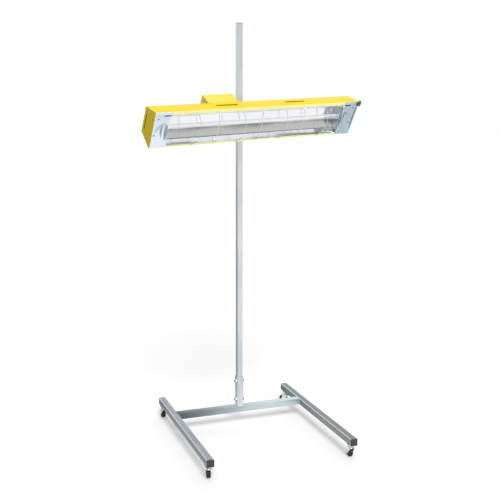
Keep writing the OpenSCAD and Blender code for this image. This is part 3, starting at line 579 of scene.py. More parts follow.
def threaded(name, radius, pitch, low, high, plain_to=None):
    """A threaded rod along Z between two heights, plain below a third height."""
    core = radius - 0.55 * pitch
    height = low + 0.3 * pitch
    profile = [(0, low), (core, low), (radius, height)]
    if plain_to is not None:
        profile.append((radius, plain_to))
        height = plain_to
    while height + pitch < high - 0.5 * pitch:
        profile.extend([(core, height + 0.5 * pitch), (radius, height + pitch)])
        height += pitch
    return turned(name, profile + [(core, high), (0, high)], 24)


m8_radius, m8_flats, m8_head, m8_nut, m8_pitch = 0.004, 0.013, 0.0053, 0.0065, 0.00125


def bolt(name, length, radius=m8_radius, flats=m8_flats, head=m8_head, pitch=m8_pitch):
    """A hexagon bolt, of size M8 if no other is given, with its head below Z = 0 and its thread above."""
    shank = threaded("shank", radius, pitch, -0.0002, length, length * 0.45)
    return smooth(join(name, [put(hexagon("head", flats, head), turn_by(180, "X")), shank]), 30)


blackened = finish_of("blackened_steel", ((0.035, 0.036, 0.042), (0.060, 0.062, 0.070)), (0.34, 0.5),
                      cloud=150, grain=1800, relief=0.15, Metallic=0.35)
half_tube, socket_bolt_heights = 0.015, (0.117, 0.203)
bolt_pattern = bolt("bolt_pattern", 0.0385)
nut_pattern = smooth(hexagon("nut_pattern", m8_flats, m8_nut, m8_radius), 30)
for node, pattern, x, finish in (("socket_bolts", bolt_pattern, half_tube, blackened),
                                 ("socket_nuts", nut_pattern, -half_tube, bright_zinc)):
    places = [shift(x, 0, height) @ turn_by(-90, "Y") for height in socket_bolt_heights]
    stands_for(join(node + "_m8", copies_of(pattern, places)), finish, node)


# The socket is welded on the cross tube and the cross tube between the legs. The beads are left rippled
# under the zinc.
def weld(start, end, radius):
    """A rippled weld bead between two points."""
    start, end = Vector(start), Vector(end)
    length = (end - start).length
    steps = max(8, int(length / 0.0006))
    profile = [(0, 0)]
    for step in range(steps + 1):
        along = step / steps
        swell = 1 + 0.13 * math.sin(along * length / 0.0022 * math.tau)
        ends = min(1, math.sqrt(max(0.02, 4 * along * (1 - along) * length / (8 * radius))))
        profile.append((radius * swell * ends, along * length))
    profile.append((0, length))
    bead = smooth(turned("bead", profile, 10), 60)
    return put(bead, shift(*start) @ (end - start).to_track_quat("Z", "Y").to_matrix().to_4x4())


cross_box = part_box("cross_tube")
base_top = cross_box[1][2]
foot_beads = [smooth(copy_of("mast_socket", "mast_socket_tube"), 30)]
cross_beads = [smooth(copy_of("cross_tube", "cross_tube_bare"), 30)]
for side in (-half_tube, half_tube):
    foot_beads.append(weld((-0.0115, side, base_top), (0.0115, side, base_top), 0.0020))
    foot_beads.append(weld((side, -0.0115, base_top), (side, 0.0115, base_top), 0.0022))
for x in (cross_box[0][0], cross_box[1][0]):
    cross_beads.append(weld((x, -0.0125, base_top), (x, 0.0125, base_top), 0.0018))
    for y in (-half_tube, half_tube):
        cross_beads.append(weld((x, y, base_top - 0.0275), (x, y, base_top - 0.0025), 0.0018))
stands_for(join("mast_socket_welded", foot_beads), zinc_z, "mast_socket")
stands_for(join("cross_tube_welded", cross_beads), zinc_x, "cross_tube")


# The casing is one sheet of 1.5 mm steel, folded along the head with a lip on both edges of the open face,
# and powder coated bright yellow. Two louvres are pressed out of its roof, and the lips have holes for the
# guard wires.
def choose(piece, kind, test):
    """Opens a piece for editing with the edges or faces selected whose middle and direction pass a test."""
    alone(piece)
    bpy.ops.object.mode_set(mode="EDIT")
    bpy.context.tool_settings.mesh_select_mode = [kind == word for word in ("VERT", "EDGE", "FACE")]
    bpy.ops.mesh.select_all(action="DESELECT")
    bpy.ops.object.mode_set(mode="OBJECT")
    mesh = piece.data
    if kind == "EDGE":
        for edge in mesh.edges:
            start, end = (mesh.vertices[index].co for index in edge.vertices)
            edge.select = test((start + end) / 2, (end - start).normalized())
    else:
        for face in mesh.polygons:
            face.select = test(face.center, face.normal)
    bpy.ops.object.mode_set(mode="EDIT")


def choose_folds(piece, folds):
    """Opens folded sheet for editing with its long edges selected that lie at some corners of its path."""
    choose(piece, "EDGE", lambda middle, way: abs(way.x) > 0.9 and min(
        math.dist((middle.y, middle.z), fold) for fold in folds) < 0.00001)


def folded(name, path, half, sheet, offset=-1, bend=0.002):
    """Sheet metal folded along X: a path of depth and height, with a bend radius at each of its corners."""
    piece = started(name, bpy.ops.mesh.primitive_plane_add, size=1)
    corners = [(x, *point) for point in path[:2] for x in (-half, half)]
    for vertex, corner in zip(piece.data.vertices, corners):
        vertex.co = corner
    choose_folds(piece, path[1:2])
    for before, after in zip(path[1:], path[2:]):
        step = (0, after[0] - before[0], after[1] - before[1])
        bpy.ops.mesh.extrude_region_move(TRANSFORM_OT_translate={"value": step})
    choose_folds(piece, path[1:-1])
    bpy.ops.mesh.bevel(offset=bend, segments=4, affect="EDGES", clamp_overlap=True)
    bpy.ops.object.mode_set(mode="OBJECT")
    apply(piece, "SOLIDIFY", thickness=sheet, offset=offset, use_even_offset=True)
    return piece


def place_of(turned_to, point):
    """A place from a 3 x 3 turn and a point."""
    return shift(*point) @ turned_to.to_4x4()


tilt_axis, swivel_axis = (Vector(joints[name]["axis"]) for name in ("head_tilt", "head_swivel"))
swivel_turn = Matrix((tilt_axis, swivel_axis.cross(tilt_axis), swivel_axis)).transposed()
head_turn = swivel_turn @ Matrix.Rotation(math.radians(-joints["head_tilt"]["range_deg"][0]), 3, "X")
tilt_place = place_of(head_turn, joints["head_tilt"]["pos_m"])
tilt_to_face = 0.119
head_place = tilt_place @ shift(0, -tilt_to_face, 0)

head_half, head_depth, half_open, half_rear = 0.485, 0.085, 0.0825, 0.0575
end_sheet, casing_sheet, lip, upper_lip, end_flange = 0.002, 0.0015, 0.008, 0.0155, 0.020
casing_half = head_half - end_sheet
wall_slope = (half_open - half_rear) / head_depth
half_outline = [(0, half_open), (head_depth, half_rear)]
end_outline = half_outline + mirrored(half_outline)
casing = folded("casing_sheet", [(0, half_open - upper_lip), *end_outline, (0, lip - half_open)], casing_half,
                casing_sheet)

louvre_middles, louvre_half, louvre_y, louvre_run = (-0.151, 0.176), 0.050, 0.044, 0.0105
louvre_rise, louvre_sunk, louvre_end = 0.0039, 0.0002, 0.007


def at_roof(x):
    """Place of a louvre's front edge on the casing's roof, with Z square out of the sheet."""
    roof_turn = Matrix.Rotation(-math.atan(wall_slope), 3, "X")
    return place_of(roof_turn, (x, louvre_y, half_open - wall_slope * louvre_y))


def louvre_hood(x):
    """A pressed hood that rises to an open edge in front and runs out at its ends and its back."""
    hood = started("hood", bpy.ops.mesh.primitive_grid_add, x_subdivisions=48, y_subdivisions=12, size=1)
    reach = louvre_half + 0.002
    for vertex in hood.data.vertices:
        along, back = vertex.co.x * 2 * reach, vertex.co.y + 0.5
        end = min(1, (reach - abs(along)) / louvre_end)
        end = math.sqrt(max(0, 1 - (1 - end) ** 2))
        crest = 0.5 + 0.5 * math.cos(math.pi * min(1, back))
        vertex.co = (along, back * louvre_run, louvre_rise * end * crest - louvre_sunk)
    apply(hood, "SOLIDIFY", thickness=0.0011, offset=-1)
    return put(hood, at_roof(x))


for x in louvre_middles:
    slot = block("slot", (-louvre_half + 0.002, -0.001, -0.006), (louvre_half - 0.002, 0.0048, 0.006))
    cut(casing, put(slot, at_roof(x)))

wire_xs = [-0.255 + pair * 0.202 + side * 0.049 for pair in range(4) for side in (-1, 1)]
wire_z, wire_top = half_open - lip / 2, half_open - 0.0115
hole_places = [shift(x, 0, z) @ turn_by(-90, "X") for x in wire_xs for z in (-wire_z, wire_top)]
cut(casing, join("lip_holes", copies_of(rod("hole", 0.0017, -0.002, 0.004, 20), hole_places)))
rounded(casing, 0.0003)

slot_low, slot_high = (0.064, -0.043), (0.071, 0.031)


def end_frame(side):
    """The flange folded in at an end of the casing, which the end plate is screwed to."""
    inner, outer = sorted((side * (casing_half - casing_sheet), side * casing_half))
    flange_outline = [(y + (0.0005 if y == 0 else -0.0005), z * 0.99) for y, z in end_outline]
    half_window = [(y, half_open - wall_slope * y - end_flange)
                   for y in (end_flange, head_depth - end_flange)]
    window = plate("window", half_window + mirrored(half_window), inner - 0.001, outer + 0.001)
    behind_slot = block("behind_slot", (inner - 0.001, slot_low[0] - 0.0015, slot_low[1] + 0.004),
                        (outer + 0.001, slot_high[0] + 0.0015, slot_high[1] + 0.001))
    return cut(plate("end_frame", flange_outline, inner, outer), window, behind_slot)


def powder_coat(name, tones, roughness, **shader_inputs):
    """Powder coating with the faint ripple that it dries to."""
    return finish_of(name, tones, roughness, cloud=9, grain=1100, relief=0.16, depth=0.00012, **shader_inputs)


hoods = [louvre_hood(x) for x in louvre_middles]
casing = put(join("casing_sheet", [casing, *hoods, end_frame(-1), end_frame(1)]), head_place)
yellow_coat = powder_coat("yellow_powder_coat", ((0.93, 0.70, 0.001), (0.965, 0.745, 0.004)), (0.28, 0.42),
                          Specular_IOR_Level=0.10)
stands_for(casing, yellow_coat, "casing")

# The lips are painted paler than the casing and glow faintly, a painted highlight that makes them look as
# bright as in the photograph. Behind the lips the steel is left bare.
lip_highlight_coat = powder_coat("lip_coat_painted_highlight", ((0.985, 0.955, 0.40), (0.99, 0.975, 0.52)), (0.20, 0.34),
                       Emission_Color=(1, 0.93, 0.42, 1), Emission_Strength=0.16)
bare_inside = finish_of("bare_inside", ((0.80, 0.82, 0.85), (0.88, 0.90, 0.92)), (0.25, 0.40), cloud=40,
                        grain=900, Metallic=0.5)
for coat in (lip_highlight_coat, bare_inside):
    casing.data.materials.append(coat)
into_head = head_place.inverted()
for face in casing.data.polygons:
    middle, way = into_head @ face.center, head_turn.transposed() @ face.normal
    between_ends = abs(middle.x) < casing_half - 0.003
    if between_ends and middle.y < 0.0012 and way.y < -0.6:
        face.material_index = 1
    if between_ends and middle.y < 0.004 and way.y > 0.6:
        face.material_index = 2

# The two ends are closed by flat plates of 2 mm sheet, coated like the casing, each with a long slot near
# its rear edge and six screws.
for side, node in ((-1, "end_plate_left"), (1, "end_plate_right")):
    inner, outer = sorted((side * casing_half, side * head_half))
    slot = block("slot", (inner - 0.001, *slot_low), (outer + 0.001, *slot_high))
    end_plate = rounded(cut(plate("coated_" + node, end_outline, inner, outer), slot), 0.0004)
    stands_for(put(end_plate, head_place), yellow_coat, node)


# Pan-head screws with a cross recess hold the end plates, the terminal box and the polished covers. Each has
# come to rest at a turn of its own.
def pan_screw(length):
    """A sheet-metal screw along Z with its head above Z = 0."""
    half_pitch = 0.0006
    threads = [(0.0020 - 0.0005 * (step % 2), -0.0004 - half_pitch * step)
               for step in range(int(length / half_pitch))]
    profile = ([(0, 0.0020), (0.0014, 0.00195)] + arc((0.0018, 0.0004), 0.00152, 80, 0, 5)
               + [(0.0036, 0.0003), (0.0036, 0), (0.0020, 0)] + threads + [(0, -length)])
    screw = turned("screw", profile, 28)
    for quarter in (0, 90):
        recess = block("recess", (-0.0019, -0.00045, 0.0008), (0.0019, 0.00045, 0.003))
        cut(screw, put(recess, turn_by(quarter, "Z")))
    return smooth(screw, 30)


half_screws = [(0.072, 0.044), (0.040, 0.057), (0.012, 0.046)]
end_screws = half_screws + mirrored(half_screws)
box_left, box_right, box_low, box_high, box_flange = -0.212, -0.073, -0.034, 0.057, 0.010
cover_half, cover_sag, cover_sheet, gap = 0.074, 0.006, 0.001, 0.0001
cover_radius = (cover_half ** 2 + cover_sag ** 2) / (2 * cover_sag)
cover_screws = ((0.022, 0.050), (0.015, -0.026))


def cover_face(z):
    """Depth of the polished cover's front face at a height above the middle of the head."""
    return cover_sag - cover_sheet - gap - cover_radius + math.sqrt(cover_radius ** 2 - z ** 2)


long_places, short_places = [], []
for side in (-1, 1):
    for y, z in end_screws:
        own_turn = Matrix.Rotation(y * 900, 4, "Z")
        long_places.append(shift(side * head_half, y, z) @ turn_by(side * 90, "Y") @ own_turn)
    for inset, z in cover_screws:
        lean, own_turn = math.degrees(math.asin(z / cover_radius)), Matrix.Rotation(z * 700, 4, "Z")
        short_places.append(shift(side * (head_half - inset), cover_face(z), z) @ turn_by(90 + lean, "X")
                            @ shift(0, 0, gap) @ own_turn)
for x in (box_left - box_flange / 2, box_right + box_flange / 2):
    for z in (-0.022, 0.030):
        own_turn = Matrix.Rotation(x + z * 800, 4, "Z")
        long_places.append(shift(x, head_depth + casing_sheet, z) @ turn_by(-90, "X") @ own_turn)
screws = copies_of(pan_screw(0.008), long_places) + copies_of(pan_screw(0.005), short_places)
yellow_zinc = finish_of("yellow_passivated_zinc", ((0.46, 0.42, 0.24), (0.62, 0.57, 0.36)), (0.25, 0.40),
                        cloud=90, grain=1500, relief=0.05, Metallic=1.0)
stands_for(put(join("head_screws", screws), head_place), yellow_zinc, "sheet_screws")

# A small dark piece sits over the upper right front corner of the head.
dark_corner_finish = finish_of("dark_corner_moulding", ((0.085, 0.086, 0.098), (0.125, 0.126, 0.140)), (0.55, 0.7), cloud=80,
                   grain=1800, relief=0.4, depth=0.0001)
softened("corner_buffer", "dark_corner_piece", dark_corner_finish, 0.0012, 3)


# The trough behind the lamp is one strip of polished aluminium 1 mm thick, folded to five flats. Its sheet
# is drawn slightly wavy between the folds, so that the mirrored bands wander a little.
def polished_sheet(name, tones, roughness, wave, stretch):
    """Polished aluminium with slow waves and faint streaks of polishing."""
    material = finish_of(name, tones, roughness, cloud=11, grain=900, stretch=stretch, relief=0.03,
                         Metallic=1.0)
    tree = material.node_tree
    place = shader_node(tree, "ShaderNodeTexCoord").outputs["Object"]
    squeezed = shader_node(tree, "ShaderNodeMapping", {"Vector": place, "Scale": stretch}).outputs["Vector"]
    slow = shader_node(tree, "ShaderNodeTexNoise", {"Vector": squeezed, "Scale": 14, "Detail": 1,
                                                    "Roughness": 0.4}).outputs["Fac"]
    waves = shader_node(tree, "ShaderNodeBump", {"Height": slow, "Strength": 1.0, "Distance": wave})
    fine = tree.nodes["Principled BSDF"].inputs["Normal"].links[0].from_node
    feed(tree, fine.inputs["Normal"], waves.outputs["Normal"])
    return material


polished = polished_sheet("polished_aluminium", ((0.84, 0.87, 0.91), (0.92, 0.94, 0.97)), (0.07, 0.14),
                          0.0016, (0.35, 1, 1))
half_trough = [(0.0016, 0.0755), (0.028, 0.0625), (0.060, 0.029)]
trough = folded("polished_trough", half_trough + mirrored(half_trough), head_half - 0.049, 0.001, 1, 0.004)
stands_for(put(rounded(trough, 0.0002), head_place), polished, "reflector")

# Each end of the open face is covered by a dished sheet of the same aluminium. Its lower inner part is
# pressed deeper into a scoop, its inner edge is rolled back, and a short slot stands near the upper inner
# corner. A polished end wall closes the trough behind that edge, with a round way through for the lamp.
# The two covers are tinted apart from the trough's aluminium, pale blue on the left and dark blue-grey on the
# right: painted reflections of what each cover faces.
left_cover_reflection_tint = polished_sheet("cover_left_painted_reflection", ((0.76, 0.85, 0.95), (0.86, 0.92, 0.98)),
                                   (0.26, 0.34), 0.0004, (1, 1, 1))
right_cover_reflection_tint = polished_sheet("cover_right_painted_reflection", ((0.38, 0.48, 0.56), (0.56, 0.66, 0.74)),
                                    (0.22, 0.34), 0.0014, (1, 1, 0.3))
cover_inner, cover_reach, lamp_y = casing_half - 0.073, half_open - 0.001, 0.028
bowl_deep, bowl_power, flange_deep, flange_out = 0.0095, 1.15, 0.008, 0.0012
edge_share, dish_share, roll_share = 0.055, 0.03, 0.95
bowl_middle, bowl_reach = (0.72, -0.020), ((0.60, 0.22), (0.036, 0.050))
half_wall = [(lamp_y, 0.0612), (0.0590, 0.0282)]


def cover_depth(across, z):
    """Depth of a cover's front at a share of its width from the outer edge, and a height."""
    front = -cover_sheet - gap
    if abs(z) > cover_half:
        return front
    sideways = (across - bowl_middle[0]) / bowl_reach[0][across > bowl_middle[0]]
    upwards = (z - bowl_middle[1]) / bowl_reach[1][z > bowl_middle[1]]
    bowl = max(0, 1 - sideways ** 2 - upwards ** 2) ** bowl_power
    dish = min(1, max(0, (across - edge_share) / dish_share))
    return front + (cover_face(z) - front) * dish + bowl_deep * bowl


for side, node, cover_outer, finish in (
        (-1, "end_reflector_left", casing_half - 0.0002, left_cover_reflection_tint),
        (1, "end_reflector_right", head_half - 0.0004, right_cover_reflection_tint)):
    cover = started("polished_" + node, bpy.ops.mesh.primitive_grid_add, x_subdivisions=60, y_subdivisions=84,
                    size=1)
    for vertex in cover.data.vertices:
        across, z = vertex.co.x + 0.5, vertex.co.y * 2 * cover_reach
        x = cover_outer - across * (cover_outer - cover_inner)
        depth = cover_depth(min(across, roll_share), z)
        rolled = max(0, (across - roll_share) / (1 - roll_share))
        if abs(z) < cover_half - 0.004:
            depth += flange_deep * rolled * rolled
            x += flange_out * rolled
        vertex.co = (side * x, depth, z)
    if side > 0:
        cover.data.flip_normals()
    apply(cover, "SOLIDIFY", thickness=cover_sheet * 0.8, offset=-1)
    slot_xs = sorted((side * (cover_inner + 0.004), side * (cover_inner + 0.034)))
    cut(cover, block("slot", (slot_xs[0], -0.02, 0.0615), (slot_xs[1], 0.02, 0.0670)))
    smooth(cover, 40)
    wall_front = [(cover_depth(roll_share, z / 1000) + 0.006, z / 1000) for z in range(-69, 70, 6)]
    wall_xs = sorted((side * (cover_inner + 0.0004), side * (cover_inner + 0.0012)))
    lamp_way = put(rod("lamp_way", 0.0090, -0.01, 0.01, 48),
                   shift(side * cover_inner, lamp_y, 0) @ turn_by(90, "Y"))
    end_wall = cut(plate("end_wall", wall_front + half_wall + mirrored(half_wall), *wall_xs), lamp_way)
    cover_faces = len(cover.data.polygons)
    stands_for(put(join(cover.name, [cover, end_wall]), head_place), finish, node)
    cover.data.materials.append(polished)
    for face in cover.data.polygons[cover_faces:]:
        face.material_index = 1


# Eight guard wires of bright 2.5 mm steel bow out over the lamp in leaning pairs. Their ends are hooked back
# through the holes in the lips.
def rod_along(name, points, radius, roundness):
    """A round rod along a line of points, with four sides and four more for each step of roundness."""
    piece = started(name, bpy.ops.curve.primitive_nurbs_path_add)
    line = piece.data
    line.splines.clear()
    spline = line.splines.new("POLY")
    spline.points.add(len(points) - 1)
    for knot, point in zip(spline.points, points):
        knot.co = (*point, 1)
    line.dimensions = "3D"
    line.bevel_depth = radius
    line.bevel_resolution = roundness
    line.use_fill_caps = True
    bpy.ops.object.convert(target="MESH")
    return smooth(piece, 50)


guard_bow, guard_lean, wire_radius = 0.040, 17, 0.00125
bow_radius = (wire_z ** 2 + guard_bow ** 2) / (2 * guard_bow)
bow_angle = math.degrees(math.asin(wire_z / bow_radius))
bow_line = arc((bow_radius - guard_bow, 0), bow_radius, 180 - bow_angle, 180 + bow_angle, 40)[1:-1]
guard_wires = []
for x, lean in zip(wire_xs, (guard_lean, -guard_lean) * 4):
    leaning = shift(x, 0, 0) @ turn_by(lean, "Z")
    bow = [leaning @ Vector((0, y, z)) for y, z in bow_line if z < wire_top - 0.002]
    hook = [(x, 0.0033, wire_top), (x, 0.0006, wire_top), (x, bow[0].y + 0.003, wire_top)]
    lower_end = [(x, 0.0006, -wire_z), (x, 0.0033, -wire_z)]
    guard_wires.append(rod_along("guard_wire", hook + bow + lower_end, wire_radius, 2))
chrome_wire = finish_of("chromed_wire", ((0.90, 0.91, 0.93), (0.96, 0.97, 0.98)), (0.06, 0.14), cloud=60,
                        grain=1500, relief=0.05, Metallic=1.0)
stands_for(put(join("guard_wires_bowed", guard_wires), head_place), chrome_wire, "guard_wires")

# The carriage is a sleeve of 32 mm square tube that slides on the mast, with a front plate and a rear boss
# welded on.
softened("carriage_sleeve", "carriage_sleeve_tube", zinc_z, 0.0005)
plate_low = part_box("carriage_plate")[0][2]
sleeve_low, sleeve_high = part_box("carriage_sleeve")
seam_y, seam_bead = sleeve_low[1], 0.0019
beads = [rounded(copy_of("carriage_plate", "front_plate"), 0.0006)]
for x in (sleeve_low[0] + 0.001, sleeve_high[0] - 0.001):
    beads.append(weld((x, seam_y, plate_low + 0.003), (x, seam_y, sleeve_high[2] - 0.002), seam_bead))
under_left, under_right = ((x, seam_y, plate_low) for x in (sleeve_low[0] + 0.004, sleeve_high[0] - 0.004))
beads.append(weld(under_left, under_right, seam_bead))
stands_for(join("carriage_front_plate", beads), zinc_z, "carriage_plate")

boss_low, boss_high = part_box("clamp_boss")
clamp_z = (boss_low[2] + boss_high[2]) / 2
out_behind, out_in_front = turn_by(-90, "X"), turn_by(90, "X")
boss = turned("boss", [(0.0042, 0), (0.0090, 0), (0.0090, 0.0092), (0.0082, 0.0100), (0.0048, 0.0100),
                       (0.0042, 0.0094), (0.0042, 0)], 48)
ring = [(*point, 0.0006 + 0.0002 * (step % 2)) for step, point in enumerate(arc((0, 0), 0.0093, 0, 360, 48))]
boss = put(join("clamp_boss_welded", [boss, rod_along("bead_ring", ring, 0.0013, 1)]),
           shift(0, boss_low[1], clamp_z) @ out_behind)
stands_for(smooth(boss), bright_zinc, "clamp_boss")


# The clamp screw and the tilt bolt are tightened by six-lobed knobs of glossy black phenolic, moulded round
# a steel bush.
def star_knob(name, radius, height):
    """A six-lobed knob that stands on Z = 0 with its hub below."""
    knob = started("knob", bpy.ops.mesh.primitive_circle_add, vertices=120, radius=radius, fill_type="NGON")
    for vertex in knob.data.vertices:
        vertex.co *= 0.905 + 0.093 * math.cos(6 * math.atan2(vertex.co.y, vertex.co.x))
    pull_out(knob, (0, 0, height))
    choose(knob, "FACE", lambda middle, way: way.z > 0.9)
    bpy.ops.mesh.inset(thickness=radius * 0.30)
    bpy.ops.mesh.inset(thickness=radius * 0.06, depth=-height * 0.06)
    bpy.ops.object.mode_set(mode="OBJECT")
    rounded(knob, radius * 0.055, 4, 40)
    bush = 0.0045
    hub = turned("hub", [(bush, -0.004), (radius * 0.46, -0.004), (radius * 0.5, -0.0036),
                         (radius * 0.5, 0.0004), (bush, 0.0004), (bush, -0.004)], 40)
    return join(name, [knob, smooth(hub)])


phenolic = finish_of("black_phenolic", ((0.010, 0.010, 0.011), (0.018, 0.018, 0.020)), (0.16, 0.28), cloud=70,
                     grain=900, relief=0.05, Coat_Weight=0.3, Coat_Roughness=0.1)
clamp_knob = put(star_knob("clamp_knob_star", 0.022, 0.022),
                 shift(0, boss_high[1] + 0.006, clamp_z) @ out_behind)
stands_for(clamp_knob, phenolic, "clamp_knob")
screw_front, screw_rear = (corner[1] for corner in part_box("clamp_screw"))
clamp_screw = put(threaded("clamp_screw_m8", m8_radius, m8_pitch, 0, screw_rear - screw_front),
                  shift(0, screw_front, clamp_z) @ out_behind)
stands_for(smooth(clamp_screw, 30), bright_zinc, "clamp_screw")


# The level pivot is a threaded stud in the front plate, with a dark friction disc behind the yoke and a
# washer and a lock nut with a nylon ring in front of it.
def lock_nut(name, bore, flats, height):
    """A hexagon nut with a collar that holds a nylon ring, from Z = 0 up."""
    body = hexagon("body", flats, height * 0.74, bore)
    collar = turned("collar", [(bore, height * 0.6), (flats * 0.455, height * 0.6),
                               (flats * 0.455, height * 0.86), (flats * 0.41, height * 0.98),
                               (bore * 1.18, height), (bore, height * 0.97), (bore, height * 0.6)], 40)
    return smooth(join(name, [body, collar]), 30)


level_z, m10_radius, m10_pitch, m10_flats = joints["head_level"]["pos_m"][2], 0.005, 0.0015, 0.017
stud_front, stud_rear = (corner[1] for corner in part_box("level_stud"))
stud = put(threaded("level_stud_m10", m10_radius, m10_pitch, 0, stud_rear - stud_front),
           shift(0, stud_rear, level_z) @ out_in_front)
stands_for(smooth(stud, 30), bright_zinc, "level_stud")
nut_front, nut_rear = (corner[1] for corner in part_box("level_nut"))
level_nut = put(lock_nut("level_lock_nut", m10_radius, m10_flats, nut_rear - nut_front),
                shift(0, nut_rear, level_z) @ out_in_front)
stands_for(level_nut, bright_zinc, "level_nut")
softened("level_washers", "level_discs", dark_moulding, 0.0002)

# The yoke, the swivel block and the head's bracket are bent and cut from 4 mm steel and plated bright. The
# swivel bolt passes up through yoke and block, and the tilt bolt across block and bracket.
nylon = finish_of("natural_nylon", ((0.70, 0.67, 0.60), (0.78, 0.75, 0.68)), (0.35, 0.5), cloud=60,
                  grain=1500, relief=0.1)
for node, name in (("yoke", "bent_yoke"), ("swivel_block", "pivot_block"), ("head_bracket", "bent_bracket")):
    softened(node, name, bright_zinc, 0.0008, 3)
for node, name in (("swivel_washers", "swivel_discs"), ("tilt_washers", "tilt_discs")):
    softened(node, name, nylon, 0.00015)

backwards = Vector((0, 1, 0))
yoke_turn = Matrix((backwards.cross(swivel_axis), backwards, swivel_axis)).transposed()
yoke_place = place_of(yoke_turn, joints["head_swivel"]["pos_m"])
yoke_half, m8_lock, ear_outside = 0.017, 0.008, 0.015
swivel_bolt = put(bolt("swivel_bolt_m8", 2 * yoke_half + m8_lock + 0.002),
                  yoke_place @ shift(0, 0, yoke_half) @ turn_by(180, "X"))
swivel_nut = put(lock_nut("swivel_lock_nut", m8_radius, m8_flats, m8_lock),
                 yoke_place @ shift(0, 0, -yoke_half) @ turn_by(180, "X"))
tilt_bolt = put(bolt("tilt_bolt_m8", 2 * ear_outside + 0.016),
                tilt_place @ shift(-ear_outside, 0, 0) @ turn_by(90, "Y"))
for node, piece in (("swivel_bolt", swivel_bolt), ("swivel_nut", swivel_nut), ("tilt_bolt", tilt_bolt)):
    stands_for(piece, bright_zinc, node)
tilt_knob = put(star_knob("tilt_knob_star", 0.017, 0.017),
                tilt_place @ shift(ear_outside + 0.0057, 0, 0) @ turn_by(90, "Y"))
stands_for(tilt_knob, phenolic, "tilt_knob")
m6_radius, m6_flats = 0.003, 0.010
bracket_bolt = join("bracket_bolt", [bolt("bolt", 0.0125, m6_radius, m6_flats, 0.004, 0.001),
                                     put(hexagon("nut", m6_flats, 0.005, m6_radius), shift(0, 0, 0.0055))])
smooth(bracket_bolt, 30)
bolt_places = [tilt_place @ shift(x, -0.030, z) @ out_in_front
               for x in (-0.034, 0.034) for z in (-0.008, 0.008)]
stands_for(join("bracket_bolts_m6", copies_of(bracket_bolt, bolt_places)), bright_zinc, "bracket_bolts")


# One quartz lamp of 10.6 mm runs along the trough, with a coiled tungsten filament on small support rings,
# ribbed ceramic caps on its ends and holders of mirror-bright sheet. Two sleeved leads run behind the trough
# to the terminal box.
def hollow_rod(name, inner, outer, low, high, sides):
    """A plain tube along Z."""
    return turned(name, [(inner, low), (outer, low), (outer, high), (inner, high), (inner, low)], sides)


quartz_radius, quartz_half = 0.0053, head_half - 0.064
quartz_inner = quartz_radius - 0.0010
along_lamp = shift(0, lamp_y, 0) @ turn_by(90, "Y")
# The unlit quartz glows faintly, a painted highlight that makes the tube read white.
quartz = finish_of("milky_quartz_painted_glow", ((0.86, 0.88, 0.89), (0.95, 0.96, 0.97)), (0.10, 0.22), cloud=30,
                   grain=600, relief=0, IOR=1.46, Transmission_Weight=0.15, Emission_Color=(1, 1, 1, 1),
                   Emission_Strength=0.20)
tube = hollow_rod("quartz_tube", quartz_inner, quartz_radius, -quartz_half, quartz_half, 40)
stands_for(put(smooth(tube, 40), head_place @ along_lamp), quartz, "lamp_tube")

tungsten = finish_of("tungsten", ((0.22, 0.21, 0.21), (0.30, 0.29, 0.28)), (0.4, 0.55), cloud=80, grain=1500,
                     relief=0.1, Metallic=1.0)
coil_radius, coil_pitch, coil_wire, coil_half, steps_round = 0.0015, 0.0030, 0.0003, quartz_half - 0.012, 9
turns = int(2 * coil_half / coil_pitch)
coil_line = [(*point, coil_pitch * step / steps_round - coil_half)
             for step, point in enumerate(arc((0, 0), coil_radius, 0, 360 * turns, steps_round * turns))]
support = hollow_rod("support", 0.0016, quartz_inner - 0.0002, -0.0002, 0.0002, 16)
supports = copies_of(support, [shift(0, 0, coil_half * (count / 10 - 1)) for count in range(21)])
filament = join("lamp_filament_coil", [rod_along("filament_coil", coil_line, coil_wire, 0), *supports])
stands_for(put(filament, head_place @ along_lamp), tungsten, "lamp_filament")

ceramic = finish_of("glazed_ceramic", ((0.66, 0.60, 0.50), (0.76, 0.70, 0.60)), (0.35, 0.5), cloud=90,
                    grain=900, relief=0.15)
cap_start, cap_length = quartz_half - 0.010, 0.0410
cap_profile = [(0.0054, 0), (0.0072, 0), (0.0080, 0.0010), (0.0080, 0.0060), (0.0073, 0.0068),
               (0.0073, 0.0082), (0.0080, 0.0090), (0.0080, 0.0300), (0.0073, 0.0308), (0.0073, 0.0322),
               (0.0080, 0.0330), (0.0080, 0.0396), (0.0066, cap_length), (0, cap_length), (0, 0.0120),
               (0.0054, 0.0120), (0.0054, 0)]
cap = smooth(turned("cap", cap_profile, 40))
lamp_caps = copies_of(cap, [shift(side * cap_start, lamp_y, 0) @ turn_by(side * 90, "Y") for side in (-1, 1)])
stands_for(put(join("lamp_end_caps", lamp_caps), head_place), ceramic, "lamp_caps")
mirror_sheet = finish_of("mirror_sheet", ((0.86, 0.88, 0.90), (0.93, 0.94, 0.95)), (0.05, 0.12), cloud=40,
                         grain=900, relief=0.02, Metallic=1.0)
softened("lamp_brackets", "lamp_holders", mirror_sheet, 0.0003)


def eased(points):
    """More points along a smooth line through a few."""
    line, steps = [], 8
    spread = [points[0], *points, points[-1]]
    for before, start, end, after in zip(spread, spread[1:], spread[2:], spread[3:]):
        for step in range(steps):
            t = step / steps
            line.append(0.5 * (2 * start + (end - before) * t
                               + (2 * before - 5 * start + 4 * end - after) * t * t
                               + (3 * start - before - 3 * end + after) * t ** 3))
    return line + [points[-1]]


